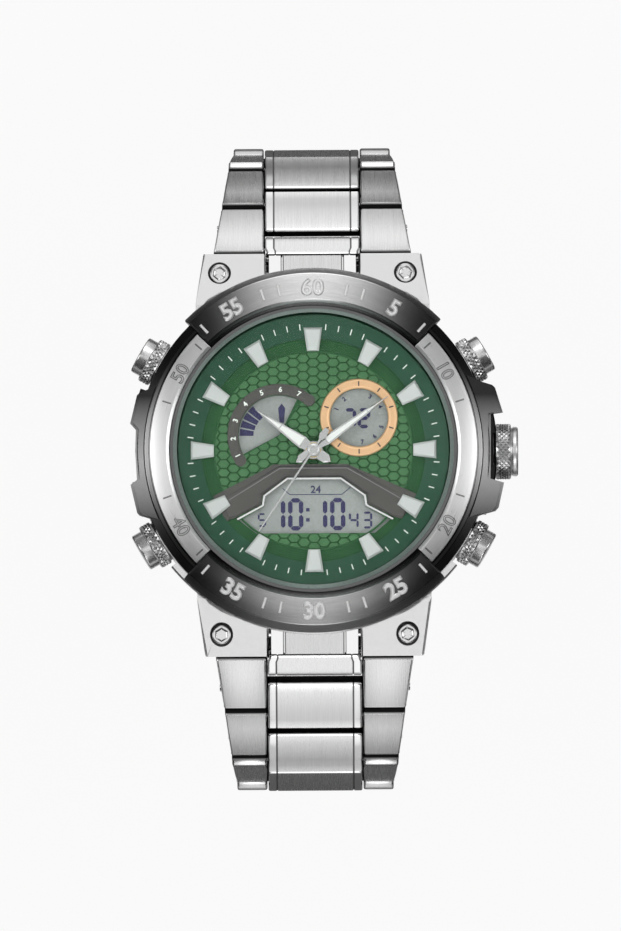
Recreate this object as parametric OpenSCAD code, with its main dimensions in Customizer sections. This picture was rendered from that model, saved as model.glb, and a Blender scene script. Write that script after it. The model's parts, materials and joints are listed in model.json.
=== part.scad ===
// Quartz wristwatch with hands, two liquid crystal readouts and a steel bracelet.
// The origin is the centre of the case back's outer face. +Z runs along the hands'
// axis towards the crystal, +Y towards 12 o'clock and +X towards the crown.

/* [Case] */
// How far the middle case stands out past the bezel base ring
case_lip = 0.95; // [0.9:0.01:1.1]
// Radius of the middle case at its foot
case_foot_r = 20.4; // [20.2:0.05:20.7]
// Height of the middle case
case_h = 7.4; // [7.4:0.05:7.8]
// Radius of the chamber that holds the movement
chamber_r = 15.9; // [15.85:0.01:16]
// Thickness of the case back
back_t = 1; // [0.9:0.05:1.2]
// Radius of the case back
back_r = 19.2; // [19:0.05:19.4]
// Radius of the circle of case back screws
back_screw_pcd_r = 18; // [17.9:0.02:18.1]
// Distance from the hands' axis to the outside of a lug
lug_x = 14.65; // [14.4:0.05:14.9]
// Half of the slot between two lugs
lug_slot = 5.75; // [5.7:0.01:5.9]
// Sideways place of a lug screw
lug_screw_x = 11.65; // [11.4:0.05:11.8]
// Distance from a lug screw to the first hinge pin, lengthways
lug_screw_in = 3.13; // [3.03:0.05:3.33]

/* [Bezel and crystal] */
// Outer radius of the bezel base ring
bezel_base_r = 22.05; // [21.9:0.01:22.1]
// How far the bezel bridges stand out past the base ring
bridge_lip = 0.85; // [0.75:0.01:0.87]
// Inner radius of the bezel
bezel_in_r = 17.95; // [17.9:0.01:18]
// Width of the base ring's rim outside the inlay arcs
rim_w = 1.6; // [1.55:0.01:1.75]
// Rise of the bezel's top above the dial
bezel_rise = 2.9; // [2.8:0.05:3.1]
// Radius of the crystal
crystal_r = 17.55; // [17.5:0.01:17.6]
// Thickness of the crystal
crystal_t = 1.5; // [1.3:0.05:1.7]
// Half of the angle that the upper bridge covers
upper_bridge_deg = 44.5; // [43:0.1:44.8]
// Half of the angle that the lower bridge covers
lower_bridge_deg = 45.5; // [44:0.1:46]

/* [Dial] */
// Thickness of the dial
dial_t = 0.4; // [0.3:0.02:0.5]
// Inner radius of the sloping minute ring
rehaut_in_r = 14; // [13.9:0.02:14.1]
// Height of the sloping minute ring
rehaut_h = 1.7; // [1.68:0.01:1.9]
// Inner radius of the hour markers
marker_in_r = 12.45; // [12.42:0.01:12.6]
// Outer radius of the hour markers
marker_out_r = 15.35; // [15.1:0.05:15.5]
// Centre of the gold ring, sideways
gold_x = 5.7; // [5.6:0.02:5.8]
// Centre of the gold ring, lengthways
gold_y = 4.08; // [4:0.02:4.16]
// Outer radius of the gold ring
gold_r = 4.88; // [4.8:0.02:4.9]
// Centre of the day ring, sideways
day_x = -4.3; // [-4.4:0.02:-4.2]
// Centre of the day ring, lengthways
day_y = 1.9; // [1.8:0.02:2]
// Outer radius of the day ring
day_r = 6.45; // [6.4:0.01:6.5]

/* [Hands] */
// Length of the hour hand from its axis to its tip
hour_len = 8.9; // [8:0.1:9.4]
// Length of the minute hand from its axis to its tip
minute_len = 11.5; // [11:0.1:12]
// Length of the second hand from its axis to its tip
second_len = 12.3; // [11.8:0.1:12.35]
// Angle of the hour hand, clockwise from 12 o'clock
hour_deg = -54.8; // [-80:0.2:-40]
// Angle of the minute hand, clockwise from 12 o'clock
minute_deg = 54.5; // [30:0.5:70]
// Angle of the second hand, clockwise from 12 o'clock
second_deg = 214; // [190:1:230]
// Radius of the seconds arbor
arbor_r = 0.3; // [0.25:0.01:0.32]
// Running clearance between the tubes that carry the hands
tube_gap = 0.05; // [0.03:0.01:0.08]

/* [Crown and pushers] */
// Height of the stem and of the pushers above the case back's outer face
stem_z = 5.3; // [5.2:0.02:5.35]
// Radius of the crown's knurled rim
crown_r = 3.55; // [3.4:0.02:3.6]
// Length of the crown's knurled rim
crown_len = 2.25; // [2:0.05:2.5]
// Depth that the crown's inner face stands inside the case's rim
crown_in = 0.45; // [0.4:0.01:0.5]
// Travel of the crown when it is pulled out
crown_pull = 1; // [0.6:0.1:1]
// Radius of the pushers' knurled collars
collar_r = 2.95; // [2.85:0.01:2.96]
// How far the collars stand out past the case's rim
collar_out = 0.8; // [0.6:0.05:1]
// Radius of a pusher's button
button_r = 2.4; // [2.3:0.01:2.45]
// How far a button stands out past its collar
button_out = 1.25; // [1.1:0.05:1.5]
// Travel of a pusher
press = 0.8; // [0.5:0.05:0.8]

/* [Bracelet] */
// Distance between two hinge pins of the bracelet
pitch = 8; // [7.7:0.05:8.2]
// Thickness of a link
link_t = 2.8; // [2.7:0.02:2.9]
// Radius of a link's round end about its hinge pin
nose_r = 1.85; // [1.8:0.01:1.88]
// Half of a centre link's width
centre_w = 5.92; // [5.85:0.01:5.94]
// Sideways gap between a centre link and its outer links
row_gap = 0.13; // [0.1:0.01:0.16]
// Width of the bracelet at the case
wide_w = 24.4; // [24:0.1:25]
// Width of the bracelet at the clasp
narrow_w = 18; // [17.6:0.1:18.4]
// Radius of a bracelet pin
pin_r = 0.5; // [0.45:0.01:0.52]
// Distance from the foot of the case to the first hinge pin
pin_reach = 5.43; // [5.4:0.01:5.5]
// Height of the first hinge pin
first_pin_z = 0.55; // [0.5:0.01:0.6]

/* [Clasp] */
// Thickness of the clasp's sheet parts
sheet_t = 0.8; // [0.7:0.02:0.84]
// Half width of the inner blade
inner_blade_w = 7.15; // [6.9:0.05:7.4]
// Half width of the middle blade
middle_blade_w = 4.3; // [4.1:0.02:4.35]
// Radius of the clasp's hinge pins
clasp_pin_r = 0.45; // [0.4:0.01:0.46]

/* [Hidden] */
$fn = 64;
eps = 0.02;
running_gap = 0.05;
fixed_gap = 0.01;

steel = "#c9ccd0";
dark_steel = "#4a4d4f";
brass = "#c2a054";
green = "#46663f";
smoke = "#3c3a38";

// Radii, from the bezel outwards
case_r = bezel_base_r + case_lip;
bridge_r = bezel_base_r + bridge_lip;
inlay_r = bezel_base_r - rim_w;

// Levels, from the case back upwards
case_top = back_t + case_h;
seat_z = case_top - 0.2;
dial_z = seat_z + dial_t;
glass_z = dial_z + rehaut_h;
bezel_z = dial_z + bezel_rise;
bezel_floor_z = glass_z - 0.1;
seat_r = chamber_r + 1.45;
holder_z = back_t + 0.7;
plate_top = seat_z - 1.3;
board_top = plate_top - 2.7;
board_t = 0.75;
holder_in_r = chamber_r - 2.3;

// Tubes that carry the hands, from the inside outwards
cannon_in_r = arbor_r + tube_gap;
cannon_r = cannon_in_r + 0.3;
hour_tube_in_r = cannon_r + tube_gap;
hour_tube_r = hour_tube_in_r + 0.25;
hand_t = 0.2;
hour_z = dial_z + 0.55;
minute_z = hour_z + 0.35;
second_z = minute_z + 0.35;

// Pushers stand at 2, 4, 8 and 10 o'clock
PUSHER_DEG = [30, -30, -150, 150];
pusher_cavity_x = case_r - 1.7;
pusher_head_x = case_r + 0.2;
knurl_x = case_r - 0.3;
collar_x = case_r + collar_out;
button_x = collar_x + button_out;
sleeve_end_x = case_r - 1;
collar_root_r = collar_r - 0.25;
pusher_stem_r = 0.75;
sleeve_r = 1.6;
crown_tube_r = 1.5;
crown_x = case_r - crown_in;
crown_tube_out_x = crown_x + 0.9;
stem_r = 0.6;

// The first hinge pin, and directions of one half's links below the horizontal
first_pin_y = case_foot_r + pin_reach;
lug_screw_y = first_pin_y - lug_screw_in;
LINK_DEG = [-40, -51, -76, -104, -130, -151, -168];
rows = len(LINK_DEG);
// A hinge pin's place (y, z) on the 12 o'clock half
function along(deg, s) = [s * cos(deg), s * sin(deg)];
function pin_at(i) =
    i == 0 ? [first_pin_y, first_pin_z] : pin_at(i - 1) + along(LINK_DEG[i - 1], pitch);
// Width of the bracelet at row i, which narrows fast near the case
function row_w(i) = narrow_w + (wide_w - narrow_w) * pow(1 - i / rows, 2.5);
centre_step = nose_r + 0.2;
side_x = centre_w + row_gap;

// Spring bars that hold the end links between the lugs
bar_u = -4;
bar_w = -0.4;
spring_bar_r = 0.75;
bar_tip_r = 0.45;

// The clasp follows an arc about an axis above it, through the last pins on both sides
clasp_arc_r = 75;
last_pin = pin_at(rows);
clasp_half_deg = asin(last_pin[0] / clasp_arc_r);
clasp_centre_z = last_pin[1] + clasp_arc_r * cos(clasp_half_deg);
deg_per_mm = 180 / (PI * clasp_arc_r);
cover_in = 1.1;
cover_w = narrow_w / 2;
wall_in = cover_w - sheet_t;
middle_in = -0.4;
inner_in = -2.1;
ear_in = side_x;
ear_r = 1.25;
fold_ear_w = 6;
fold_s = last_pin[0] - 4.6;
fold_w = -0.7;
lift_s = last_pin[0] - 4.2;
lift_w = 0.3;
knuckle_r = 0.75;

// Turns an outline drawn in (y, z) into a slab along X, centred
module across(width) {
    translate([-width / 2, 0, 0])
        rotate([90, 0, 90])
            linear_extrude(width)
                children();
}

// A cylinder along X, centred
module rod(r, length) {
    rotate([0, 90, 0])
        cylinder(r = r, h = length, center = true);
}

// Places children on the radius at an angle from +X, at the stem's height, along +X
module on_flank(deg) {
    rotate([0, 0, deg])
        translate([0, 0, stem_z])
            children();
}

// A cylinder that runs outwards from x0 to x1
module bore_x(r, x0, x1) {
    translate([x0, 0, 0])
        rotate([0, 90, 0])
            cylinder(r = r, h = x1 - x0);
}

module both_ends() {
    children();
    mirror([0, 1, 0])
        children();
}

module four_corners() {
    both_ends() {
        children();
        mirror([1, 0, 0])
            children();
    }
}

// Case

module case_ring() {
    rotate_extrude()
        polygon([
            [chamber_r, back_t], [case_foot_r, back_t], [case_foot_r + 0.9, back_t + 0.9],
            [case_r - 0.5, stem_z + 0.4], [case_r, stem_z + 1.8],
            [case_r, case_top - 0.2], [case_r - 0.2, case_top], [seat_r, case_top],
            [seat_r, seat_z], [chamber_r, seat_z]
        ]);
}

// One lug: its side outline, cut to its plan outline
module lug() {
    corner_r = 0.8;
    lug_end = first_pin_y + 0.1;
    intersection() {
        translate([lug_x / 2, 0, 0])
            across(lug_x)
                polygon([
                    [15, back_t], [15, case_top - 0.4], [18.4, case_top - 0.1],
                    [first_pin_y + 0.8, 1.45], [first_pin_y + 0.3, -0.4],
                    [first_pin_y - 1.2, -0.95], [first_pin_y - 3, -0.8], [18.5, back_t]
                ]);
        linear_extrude(40, center = true)
            difference() {
                union() {
                    polygon([
                        [lug_slot, 15], [lug_x + 0.05, 15], [lug_x, 18.5],
                        [lug_x - 0.95, lug_end - corner_r], [lug_slot, lug_end - corner_r]
                    ]);
                    polygon([
                        [lug_slot, 20], [lug_x - 0.95 - corner_r, 20],
                        [lug_x - 0.95 - corner_r, lug_end], [lug_slot, lug_end]
                    ]);
                    translate([lug_x - 0.95 - corner_r, lug_end - corner_r])
                        circle(corner_r);
                }
                circle(chamber_r + 1);
            }
    }
}

module lug_holes() {
    translate([lug_screw_x, lug_screw_y, stem_z - 3.4])
        cylinder(r = 0.8, h = 1.6);
    translate([lug_screw_x, lug_screw_y, stem_z - 1.9])
        cylinder(r = 1.45, h = 8);
}

// Pocket in the flank that takes an end link, and the room for the first hinge
module end_link_room() {
    difference() {
        translate([-lug_slot, chamber_r, -3])
            cube([2 * lug_slot, 12, case_top + 2.1]);
        translate([0, 0, -4])
            cylinder(r = case_foot_r + 0.55, h = 20);
    }
    translate([0, first_pin_y, first_pin_z])
        rod(nose_r + 0.2, 2 * lug_x + 4);
    bar = bar_place();
    translate([0, bar[0], bar[1]]) {
        rod(bar_tip_r + running_gap, 2 * (lug_slot + 1.6));
        rod(spring_bar_r + running_gap, 2 * lug_slot - 0.4);
    }
}

function bar_place() =
    let (a = LINK_DEG[0])
    [first_pin_y + bar_u * cos(a) - bar_w * sin(a), first_pin_z + bar_u * sin(a) + bar_w * cos(a)];

module back_screw_places() {
    for (a = [45:90:315])
        rotate([0, 0, a])
            translate([back_screw_pcd_r, 0, 0])
                children();
}

module case_middle() {
    color(steel)
        difference() {
            union() {
                case_ring();
                four_corners()
                    lug();
            }
            both_ends()
                end_link_room();
            four_corners()
                lug_holes();
            for (a = PUSHER_DEG)
                on_flank(a) {
                    bore_x(sleeve_r, chamber_r - 1, sleeve_end_x);
                    bore_x(collar_root_r, pusher_cavity_x - 0.4, button_x);
                    bore_x(collar_r + 0.03, knurl_x - 0.05, button_x);
                }
            on_flank(0) {
                bore_x(crown_tube_r, chamber_r - 1, case_r);
                bore_x(crown_r + 0.2, crown_x - 0.15, case_r + crown_len);
            }
            back_screw_places()
                translate([0, 0, back_t - 1])
                    cylinder(r = 0.6, h = 3.5);
        }
}

module case_back() {
    color(steel)
        difference() {
            union() {
                cylinder(r1 = back_r - 0.3, r2 = back_r, h = 0.3);
                translate([0, 0, 0.3])
                    cylinder(r = back_r, h = back_t - 0.3);
                cylinder(r = chamber_r - 0.1, h = holder_z);
            }
            translate([0, 0, back_t])
                cylinder(r = chamber_r - 1.1, h = 2);
            translate([0, 0, back_t - 0.5])
                difference() {
                    cylinder(r = chamber_r + 1.1, h = 1);
                    translate([0, 0, -1])
                        cylinder(r = chamber_r + 0.4, h = 3);
                }
            back_screw_places() {
                translate([0, 0, -1])
                    cylinder(r = 0.65, h = 3);
                translate([0, 0, -1])
                    cylinder(r = 1.15, h = 1.5);
            }
        }
}

module case_back_gasket() {
    color("#202020")
        translate([0, 0, back_t - 0.5])
            difference() {
                cylinder(r = chamber_r + 1.05, h = 0.5);
                translate([0, 0, -1])
                    cylinder(r = chamber_r + 0.45, h = 2);
            }
}

module case_back_screws() {
    color(steel)
        back_screw_places()
            difference() {
                union() {
                    cylinder(r = 1.05, h = 0.5);
                    cylinder(r = 0.6, h = back_t + 2.2);
                }
                cube([0.3, 3, 0.4], center = true);
            }
}

module lug_screws() {
    color(steel)
        four_corners()
            translate([lug_screw_x, lug_screw_y, stem_z - 1.9]) {
                difference() {
                    cylinder(r = 1.25, h = 1.1);
                    translate([0, 0, 0.4])
                        cylinder(r = 0.85, h = 2, $fn = 6);
                }
                translate([0, 0, -1.5])
                    cylinder(r = 0.8, h = 1.5);
            }
}

module spring_bars() {
    bar = bar_place();
    color(steel)
        both_ends()
            translate([0, bar[0], bar[1]]) {
                rod(spring_bar_r, 2 * lug_slot - 0.8);
                rod(bar_tip_r, 2 * (lug_slot + 1.5));
            }
}

// An end link fills the slot between two lugs and carries the first hinge's knuckle
module end_links() {
    tongue_w = lug_slot - 0.3;
    color(steel)
        both_ends()
            translate([0, first_pin_y, first_pin_z])
                rotate([LINK_DEG[0], 0, 0])
                    difference() {
                        union() {
                            across(2 * centre_w)
                                intersection() {
                                    circle(nose_r);
                                    square([4, link_t], center = true);
                                }
                            intersection() {
                                across(2 * tongue_w)
                                    polygon([
                                        [-6.8, link_t / 2], [-0.3, link_t / 2],
                                        [-0.3, -link_t / 2], [-6.8, -link_t / 2 - 0.3]
                                    ]);
                                rotate([-LINK_DEG[0], 0, 0])
                                    translate([0, -first_pin_y, -first_pin_z])
                                        difference() {
                                            translate([-8, 0, -4])
                                                cube([16, 30, case_top + 2.95]);
                                            translate([0, 0, -5])
                                                cylinder(r = case_foot_r + 0.65, h = 20);
                                        }
                            }
                        }
                        rod(pin_r + running_gap, 2 * centre_w + 2);
                        translate([0, bar_u, bar_w])
                            rod(spring_bar_r + running_gap, 2 * centre_w + 2);
                        for (s = [-1, 1])
                            translate([s * (tongue_w - 1.6), -4, link_t / 2])
                                cube([0.2, 12, 0.3], center = true);
                    }
}

// Bezel and crystal

module bezel_base() {
    color(dark_steel)
        rotate_extrude()
            polygon([
                [seat_r + 0.05, case_top], [bezel_base_r, case_top],
                [bezel_base_r, dial_z + 0.5], [inlay_r + 0.65, bezel_floor_z + 0.25],
                [inlay_r + 0.15, bezel_floor_z + 0.25], [inlay_r + 0.15, bezel_floor_z],
                [bezel_in_r, bezel_floor_z], [bezel_in_r, glass_z - 0.35],
                [seat_r + 0.05, glass_z - 0.35]
            ]);
}

// A ring sector that runs clockwise from 12 o'clock, from one angle to another
module sector(from_deg, to_deg) {
    rotate([0, 0, 90 - to_deg])
        rotate_extrude(angle = to_deg - from_deg)
            children();
}

module bridge_outline() {
    polygon([
        [bezel_in_r + 0.05, bezel_floor_z], [inlay_r + 0.13, bezel_floor_z],
        [inlay_r + 0.13, bezel_floor_z + 0.27], [inlay_r + 0.67, bezel_floor_z + 0.27],
        [bezel_base_r + 0.02, dial_z + 0.54], [bezel_base_r + 0.02, case_top],
        [bridge_r - 0.1, case_top], [bridge_r, case_top + 0.7],
        [bezel_base_r + 0.05, bezel_z - 0.4], [bezel_in_r + 0.85, bezel_z],
        [bezel_in_r + 0.05, bezel_z - 0.7]
    ]);
}

module bezel_bridges() {
    color("#5d6163") {
        sector(-upper_bridge_deg, upper_bridge_deg)
            bridge_outline();
        sector(180 - lower_bridge_deg, 180 + lower_bridge_deg)
            bridge_outline();
    }
}

module bezel_inlay() {
    gap_deg = 0.4;
    color("#d8dadb")
        for (side = [0, 1])
            mirror([side, 0, 0])
                sector(upper_bridge_deg + gap_deg, 180 - lower_bridge_deg - gap_deg)
                    polygon([
                        [bezel_in_r + 0.05, bezel_floor_z], [inlay_r, bezel_floor_z],
                        [inlay_r, bezel_z - 0.75], [bezel_in_r + 0.5, bezel_z - 0.3],
                        [bezel_in_r + 0.05, bezel_z - 0.5]
                    ]);
}

// Plan of the guard beside the crown (side 0) and of the one opposite (side 1)
module guard_plan(side) {
    near = bezel_base_r;
    if (side == 0)
        polygon([
            [near - 3.55, 9.6], [near - 2.45, 9.2], [near - 1.05, 8.5], [near + 0.35, 8.05],
            [near + 0.7, 7.7], [near + 1.65, 4.6], [near + 0.15, 4.4], [near + 0.05, -3.7],
            [near + 1.75, -4.2], [near + 1.05, -7.3], [near + 0.65, -7.75], [near - 1.05, -8.2],
            [near - 2.65, -8.8], [near - 3.55, -9.2]
        ]);
    else
        mirror([1, 0])
            polygon([
                [near - 3.55, 8.6], [near - 1.75, 7.9], [near - 0.35, 7.35], [near, 7.0],
                [near + 0.85, 3.5], [near + 0.15, 2.7], [near + 0.25, 0], [near + 0.05, -3.6],
                [near + 0.85, -4.2], [near + 0.05, -7.7], [near - 0.25, -8.05],
                [near - 2.45, -8.7], [near - 3.55, -9.1]
            ]);
}

// Each guard stands on the case's rim, in two layers, outside the bezel's base ring
module crown_guards() {
    layer = 0.75;
    color("#565a5c")
        difference() {
            union()
                for (side = [0, 1])
                    translate([0, 0, case_top]) {
                        linear_extrude(layer)
                            guard_plan(side);
                        translate([(side * 2 - 1) * 0.35, 0, layer])
                            linear_extrude(glass_z - case_top - layer)
                                guard_plan(side);
                    }
            rotate_extrude($fn = 180)
                polygon([
                    [0, case_top - 1], [bezel_base_r + 0.03, case_top - 1],
                    [bezel_base_r + 0.03, dial_z + 0.53], [inlay_r + 0.68, bezel_floor_z + 0.28],
                    [inlay_r + 0.68, bezel_z + 2], [0, bezel_z + 2]
                ]);
        }
}

module crystal() {
    bevel = 0.45;
    color("#dfe8ea", 0.35)
        translate([0, 0, glass_z]) {
            cylinder(r = crystal_r, h = crystal_t - bevel);
            translate([0, 0, crystal_t - bevel])
                cylinder(r1 = crystal_r, r2 = crystal_r - bevel, h = bevel);
        }
}

module crystal_gasket() {
    color("#e8e8e4")
        translate([0, 0, glass_z - 0.35])
            difference() {
                cylinder(r = bezel_in_r, h = 1.15);
                translate([0, 0, -1])
                    cylinder(r = crystal_r, h = 4);
            }
}

// Dial side

module rehaut() {
    color("#24391f")
        rotate_extrude()
            polygon([
                [rehaut_in_r, dial_z], [seat_r - 0.05, dial_z], [seat_r - 0.05, glass_z],
                [seat_r - 0.45, glass_z], [seat_r - 0.45, glass_z - 0.15],
                [rehaut_in_r, dial_z + 0.25]
            ]);
}

module main_window() {
    polygon([
        [-9.35, -8.75], [-6.25, -7.0], [-6.1, -5.75], [-3.22, -3.62], [3.32, -3.62],
        [6.3, -5.75], [6.45, -7.0], [9.55, -8.75], [7.6, -10.4], [-7.2, -10.4]
    ]);
}

module day_window() {
    translate([day_x, day_y])
        intersection() {
            circle(day_r - 1.4);
            polygon([[0.1, 0.1], [4, 8], [-8, 8], [-8, -4.2]]);
        }
}

module dial() {
    color(green)
        translate([0, 0, seat_z])
            difference() {
                linear_extrude(dial_t)
                    difference() {
                        circle(seat_r - 0.1);
                        main_window();
                        day_window();
                        translate([gold_x, gold_y])
                            circle(gold_r - 1.24);
                        circle(hour_tube_r + 0.25);
                    }
                for (r = [12.7:0.3:13.6])
                    translate([0, 0, dial_t])
                        difference() {
                            cylinder(r = r + 0.06, h = 0.08, center = true);
                            cylinder(r = r - 0.06, h = 1, center = true);
                        }
            }
}

// A baton that is wider and higher at its outer end
module marker() {
    inner_w = 1.5;
    outer_w = 2.35;
    inner_h = 0.6;
    outer_h = 1.1;
    rise = (outer_h - inner_h) / (marker_out_r - marker_in_r);
    past = 1;
    difference() {
        translate([0, 0, dial_z])
            linear_extrude(2 * outer_h)
                polygon([
                    [-inner_w / 2, marker_in_r], [inner_w / 2, marker_in_r],
                    [outer_w / 2, marker_out_r], [-outer_w / 2, marker_out_r]
                ]);
        across(2 * outer_w)
            polygon([
                [marker_in_r - past, dial_z + inner_h - rise * past],
                [marker_out_r + past, dial_z + outer_h + rise * past],
                [marker_out_r + past, glass_z + outer_h], [marker_in_r - past, glass_z + outer_h]
            ]);
    }
}

module hour_markers() {
    color("#f2f3f2")
        difference() {
            for (h = [0:11])
                rotate([0, 0, -30 * h])
                    marker();
            rehaut_solid();
            translate([0, 0, dial_z - 1])
                linear_extrude(1.5)
                    frame_plan(0.05);
        }
}

// The minute ring's body, used where the markers reach onto its slope
module rehaut_solid() {
    rotate_extrude()
        polygon([
            [rehaut_in_r, dial_z - 1], [seat_r, dial_z - 1], [seat_r, glass_z],
            [seat_r - 0.45, glass_z - 0.15], [rehaut_in_r, dial_z + 0.25]
        ]);
}

// The frame round the large readout, grown on its outside
module frame_plan(grow) {
    polygon([
        [-5 - grow, -1.75 + grow], [4.2 + grow, -1.75 + grow], [13.0 + grow, -5.6 + grow],
        [11.6 + grow, -8.85 - grow], [9.9, -8.35 - grow], [6.75, -6.75], [6.6, -5.6],
        [3.45, -3.35], [-3.35, -3.35], [-6.4, -5.6], [-6.55, -6.75], [-9.7, -8.35 - grow],
        [-11 - grow, -8.85 - grow], [-12.6 - grow, -5.7 + grow]
    ]);
}

module bridge_frame() {
    color("#4b4a46")
        translate([0, 0, dial_z]) {
            linear_extrude(0.25)
                intersection() {
                    frame_plan(0);
                    circle(rehaut_in_r - 0.05);
                }
            translate([0, 0, 0.25])
                linear_extrude(0.15)
                    polygon([
                        [-4.3, -2.1], [4.3, -2.1], [11.9, -6.2], [11.2, -8.4], [9.9, -8.2],
                        [6.9, -6.6], [6.8, -5.5], [3.5, -3.2], [-3.4, -3.2], [-6.6, -5.5],
                        [-6.7, -6.6], [-9.7, -8.2], [-10.6, -8.4], [-11.5, -6.2]
                    ]);
        }
}

// A round wire laid along a list of points
module wire(points, r) {
    for (i = [0:len(points) - 2])
        let (a = points[i], b = points[i + 1], v = b - a)
            translate([a[0], a[1], 0])
                rotate([0, 0, atan2(v[1], v[0])]) {
                    translate([0, -r, 0])
                        cube([norm(v), 2 * r, 2 * r]);
                    cylinder(r = r, h = 2 * r);
                }
}

module lcd_trim() {
    color(steel)
        translate([0, 0, dial_z])
            wire([
                [9.8, -8.62], [6.57, -6.9], [6.4, -5.7], [3.38, -3.53], [-3.28, -3.53],
                [-6.2, -5.7], [-6.37, -6.9], [-9.6, -8.62]
            ], 0.13);
}

module day_ring() {
    color(smoke)
        translate([day_x, day_y, dial_z]) {
            rotate([0, 0, 49])
                rotate_extrude(angle = 164)
                    polygon([
                        [day_r - 1.35, 0], [day_r, 0], [day_r, 0.25],
                        [day_r - 0.25, 0.35], [day_r - 1.1, 0.35], [day_r - 1.35, 0.25]
                    ]);
            for (a = [49, 213])
                rotate([0, 0, a])
                    translate([day_r - 0.675, 0, 0])
                        cylinder(r = 0.72, h = 0.35);
        }
}

module gold_ring() {
    color("#c98d68")
        translate([gold_x, gold_y, dial_z])
            rotate_extrude()
                polygon([
                    [gold_r - 1.24, 0], [gold_r, 0], [gold_r, 0.2], [gold_r - 0.15, 0.35],
                    [gold_r - 0.4, 0.28], [gold_r - 0.9, 0.28], [gold_r - 1.05, 0.35],
                    [gold_r - 1.24, 0.2]
                ]);
}

module lcd_panel() {
    color("#aab0ae")
        translate([0, 0, plate_top])
            difference() {
                cylinder(r = holder_in_r + 1, h = seat_z - plate_top - 0.05);
                translate([0, 0, -1])
                    cylinder(r = hour_tube_r + 0.25, h = 4);
            }
}

// Movement

module movement_holder() {
    color("#e4e2da")
        difference() {
            translate([0, 0, holder_z])
                cylinder(r = chamber_r - 0.1, h = seat_z - holder_z);
            cylinder(r = holder_in_r, h = 20);
            translate([0, 0, plate_top])
                cylinder(r = holder_in_r + 1.1, h = 10);
            for (a = concat([0], PUSHER_DEG))
                on_flank(a)
                    bore_x(1.2, holder_in_r - 1, chamber_r + 1);
        }
}

// Stem, slider and hands' tubes run in the main plate
module movement_plate() {
    color("#8d9296")
        translate([0, 0, board_top])
            difference() {
                cylinder(r = holder_in_r - 0.05, h = plate_top - board_top);
                translate([0, 0, plate_top - board_top - 0.95])
                    cylinder(r = 3.1, h = 2);
                translate([0, 0, 0.3])
                    cylinder(r = 2, h = 9);
                translate([0, 0, -1])
                    cylinder(r = arbor_r + running_gap, h = 3);
                translate([-6.6, -5.4, -1])
                    cylinder(r = 4.9, h = 1.5);
                translate([0, 0, stem_z - board_top])
                    bore_x(stem_r + running_gap, 8.4, 20);
                translate([10.7, -1.2, 0.4])
                    cube([2, 2.4, 9]);
            }
}

module circuit_board() {
    color("#2f6a3c")
        translate([0, 0, board_top - board_t])
            difference() {
                cylinder(r = holder_in_r - 0.1, h = board_t);
                translate([-6.6, -5.4, -1])
                    cylinder(r = 4.9, h = 3);
            }
}

module coil() {
    color("#b8652f")
        translate([5.2, 6.2, board_top - board_t])
            rotate([0, 0, -35]) {
                translate([0, 0, -1])
                    rod(0.8, 8);
                for (s = [-1, 1])
                    translate([s * 4.5 - 0.5, -1, -1.4])
                        cube([1, 2, 1.4]);
            }
}

module battery() {
    color("#c4c7c9")
        translate([-6.6, -5.4, back_t + 0.9]) {
            cylinder(r = 4.75, h = 2.2);
            translate([0, 0, 2.2])
                cylinder(r = 4.1, h = 0.45);
        }
}

module piezo_disc() {
    color(brass)
        translate([2, 2, back_t]) {
            cylinder(r = 6.5, h = 0.2);
            translate([0, 0, 0.2])
                cylinder(r = 4.5, h = 0.15);
        }
}

// A spur wheel with straight flanks, bored in the middle
module spur(r, teeth, h, bore) {
    difference() {
        linear_extrude(h)
            polygon([
                for (i = [0:teeth - 1], k = [0:3])
                    let (a = (i + [0.05, 0.3, 0.5, 0.85][k]) * 360 / teeth, q = k < 2 ? r : r - 0.3)
                        [q * cos(a), q * sin(a)]
            ]);
        translate([0, 0, -1])
            cylinder(r = bore, h = h + 2);
    }
}

module tube(r, bore, h) {
    difference() {
        cylinder(r = r, h = h);
        translate([0, 0, -1])
            cylinder(r = bore, h = h + 2);
    }
}

module hour_wheel() {
    color(brass) {
        translate([0, 0, plate_top - 0.7])
            spur(2.9, 40, 0.4, hour_tube_in_r + 0.1);
        translate([0, 0, plate_top - 0.7])
            tube(hour_tube_r, hour_tube_in_r, hour_z + hand_t - plate_top + 0.7);
    }
}

module cannon_pinion() {
    color(brass) {
        translate([0, 0, plate_top - 1.35])
            spur(1.7, 18, 0.4, cannon_in_r + 0.1);
        translate([0, 0, plate_top - 1.7])
            tube(cannon_r, cannon_in_r, minute_z + hand_t - plate_top + 1.7);
    }
}

// A baton hand along +Y with a sunk panel: its tail, its shoulders and its point
module baton(length, tail, waist, shoulder, hub_r, bore) {
    difference() {
        union() {
            linear_extrude(hand_t)
                polygon([
                    [-waist / 2, -tail], [-waist / 2, 0], [-shoulder / 2, length * 0.25],
                    [-shoulder * 0.27, length - 0.5], [0, length],
                    [shoulder * 0.27, length - 0.5], [shoulder / 2, length * 0.25],
                    [waist / 2, 0], [waist / 2, -tail]
                ]);
            translate([0, 0, 0.01])
                cylinder(r = hub_r, h = hand_t + 0.02);
        }
        translate([0, 0, -1])
            cylinder(r = bore, h = 3);
        translate([0, 0, hand_t - 0.07])
            linear_extrude(1)
                polygon([
                    [-0.28, length * 0.17], [-shoulder / 2 + 0.3, length * 0.27],
                    [-shoulder * 0.27 + 0.22, length * 0.62], [shoulder * 0.27 - 0.22, length * 0.62],
                    [shoulder / 2 - 0.3, length * 0.27], [0.28, length * 0.17]
                ]);
    }
}

module hour_hand() {
    color("#e6e8e8")
        translate([0, 0, hour_z])
            rotate([0, 0, -hour_deg])
                baton(hour_len, 2.6, 1.2, 1.5, hour_tube_r + 0.35, hour_tube_r);
}

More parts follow.
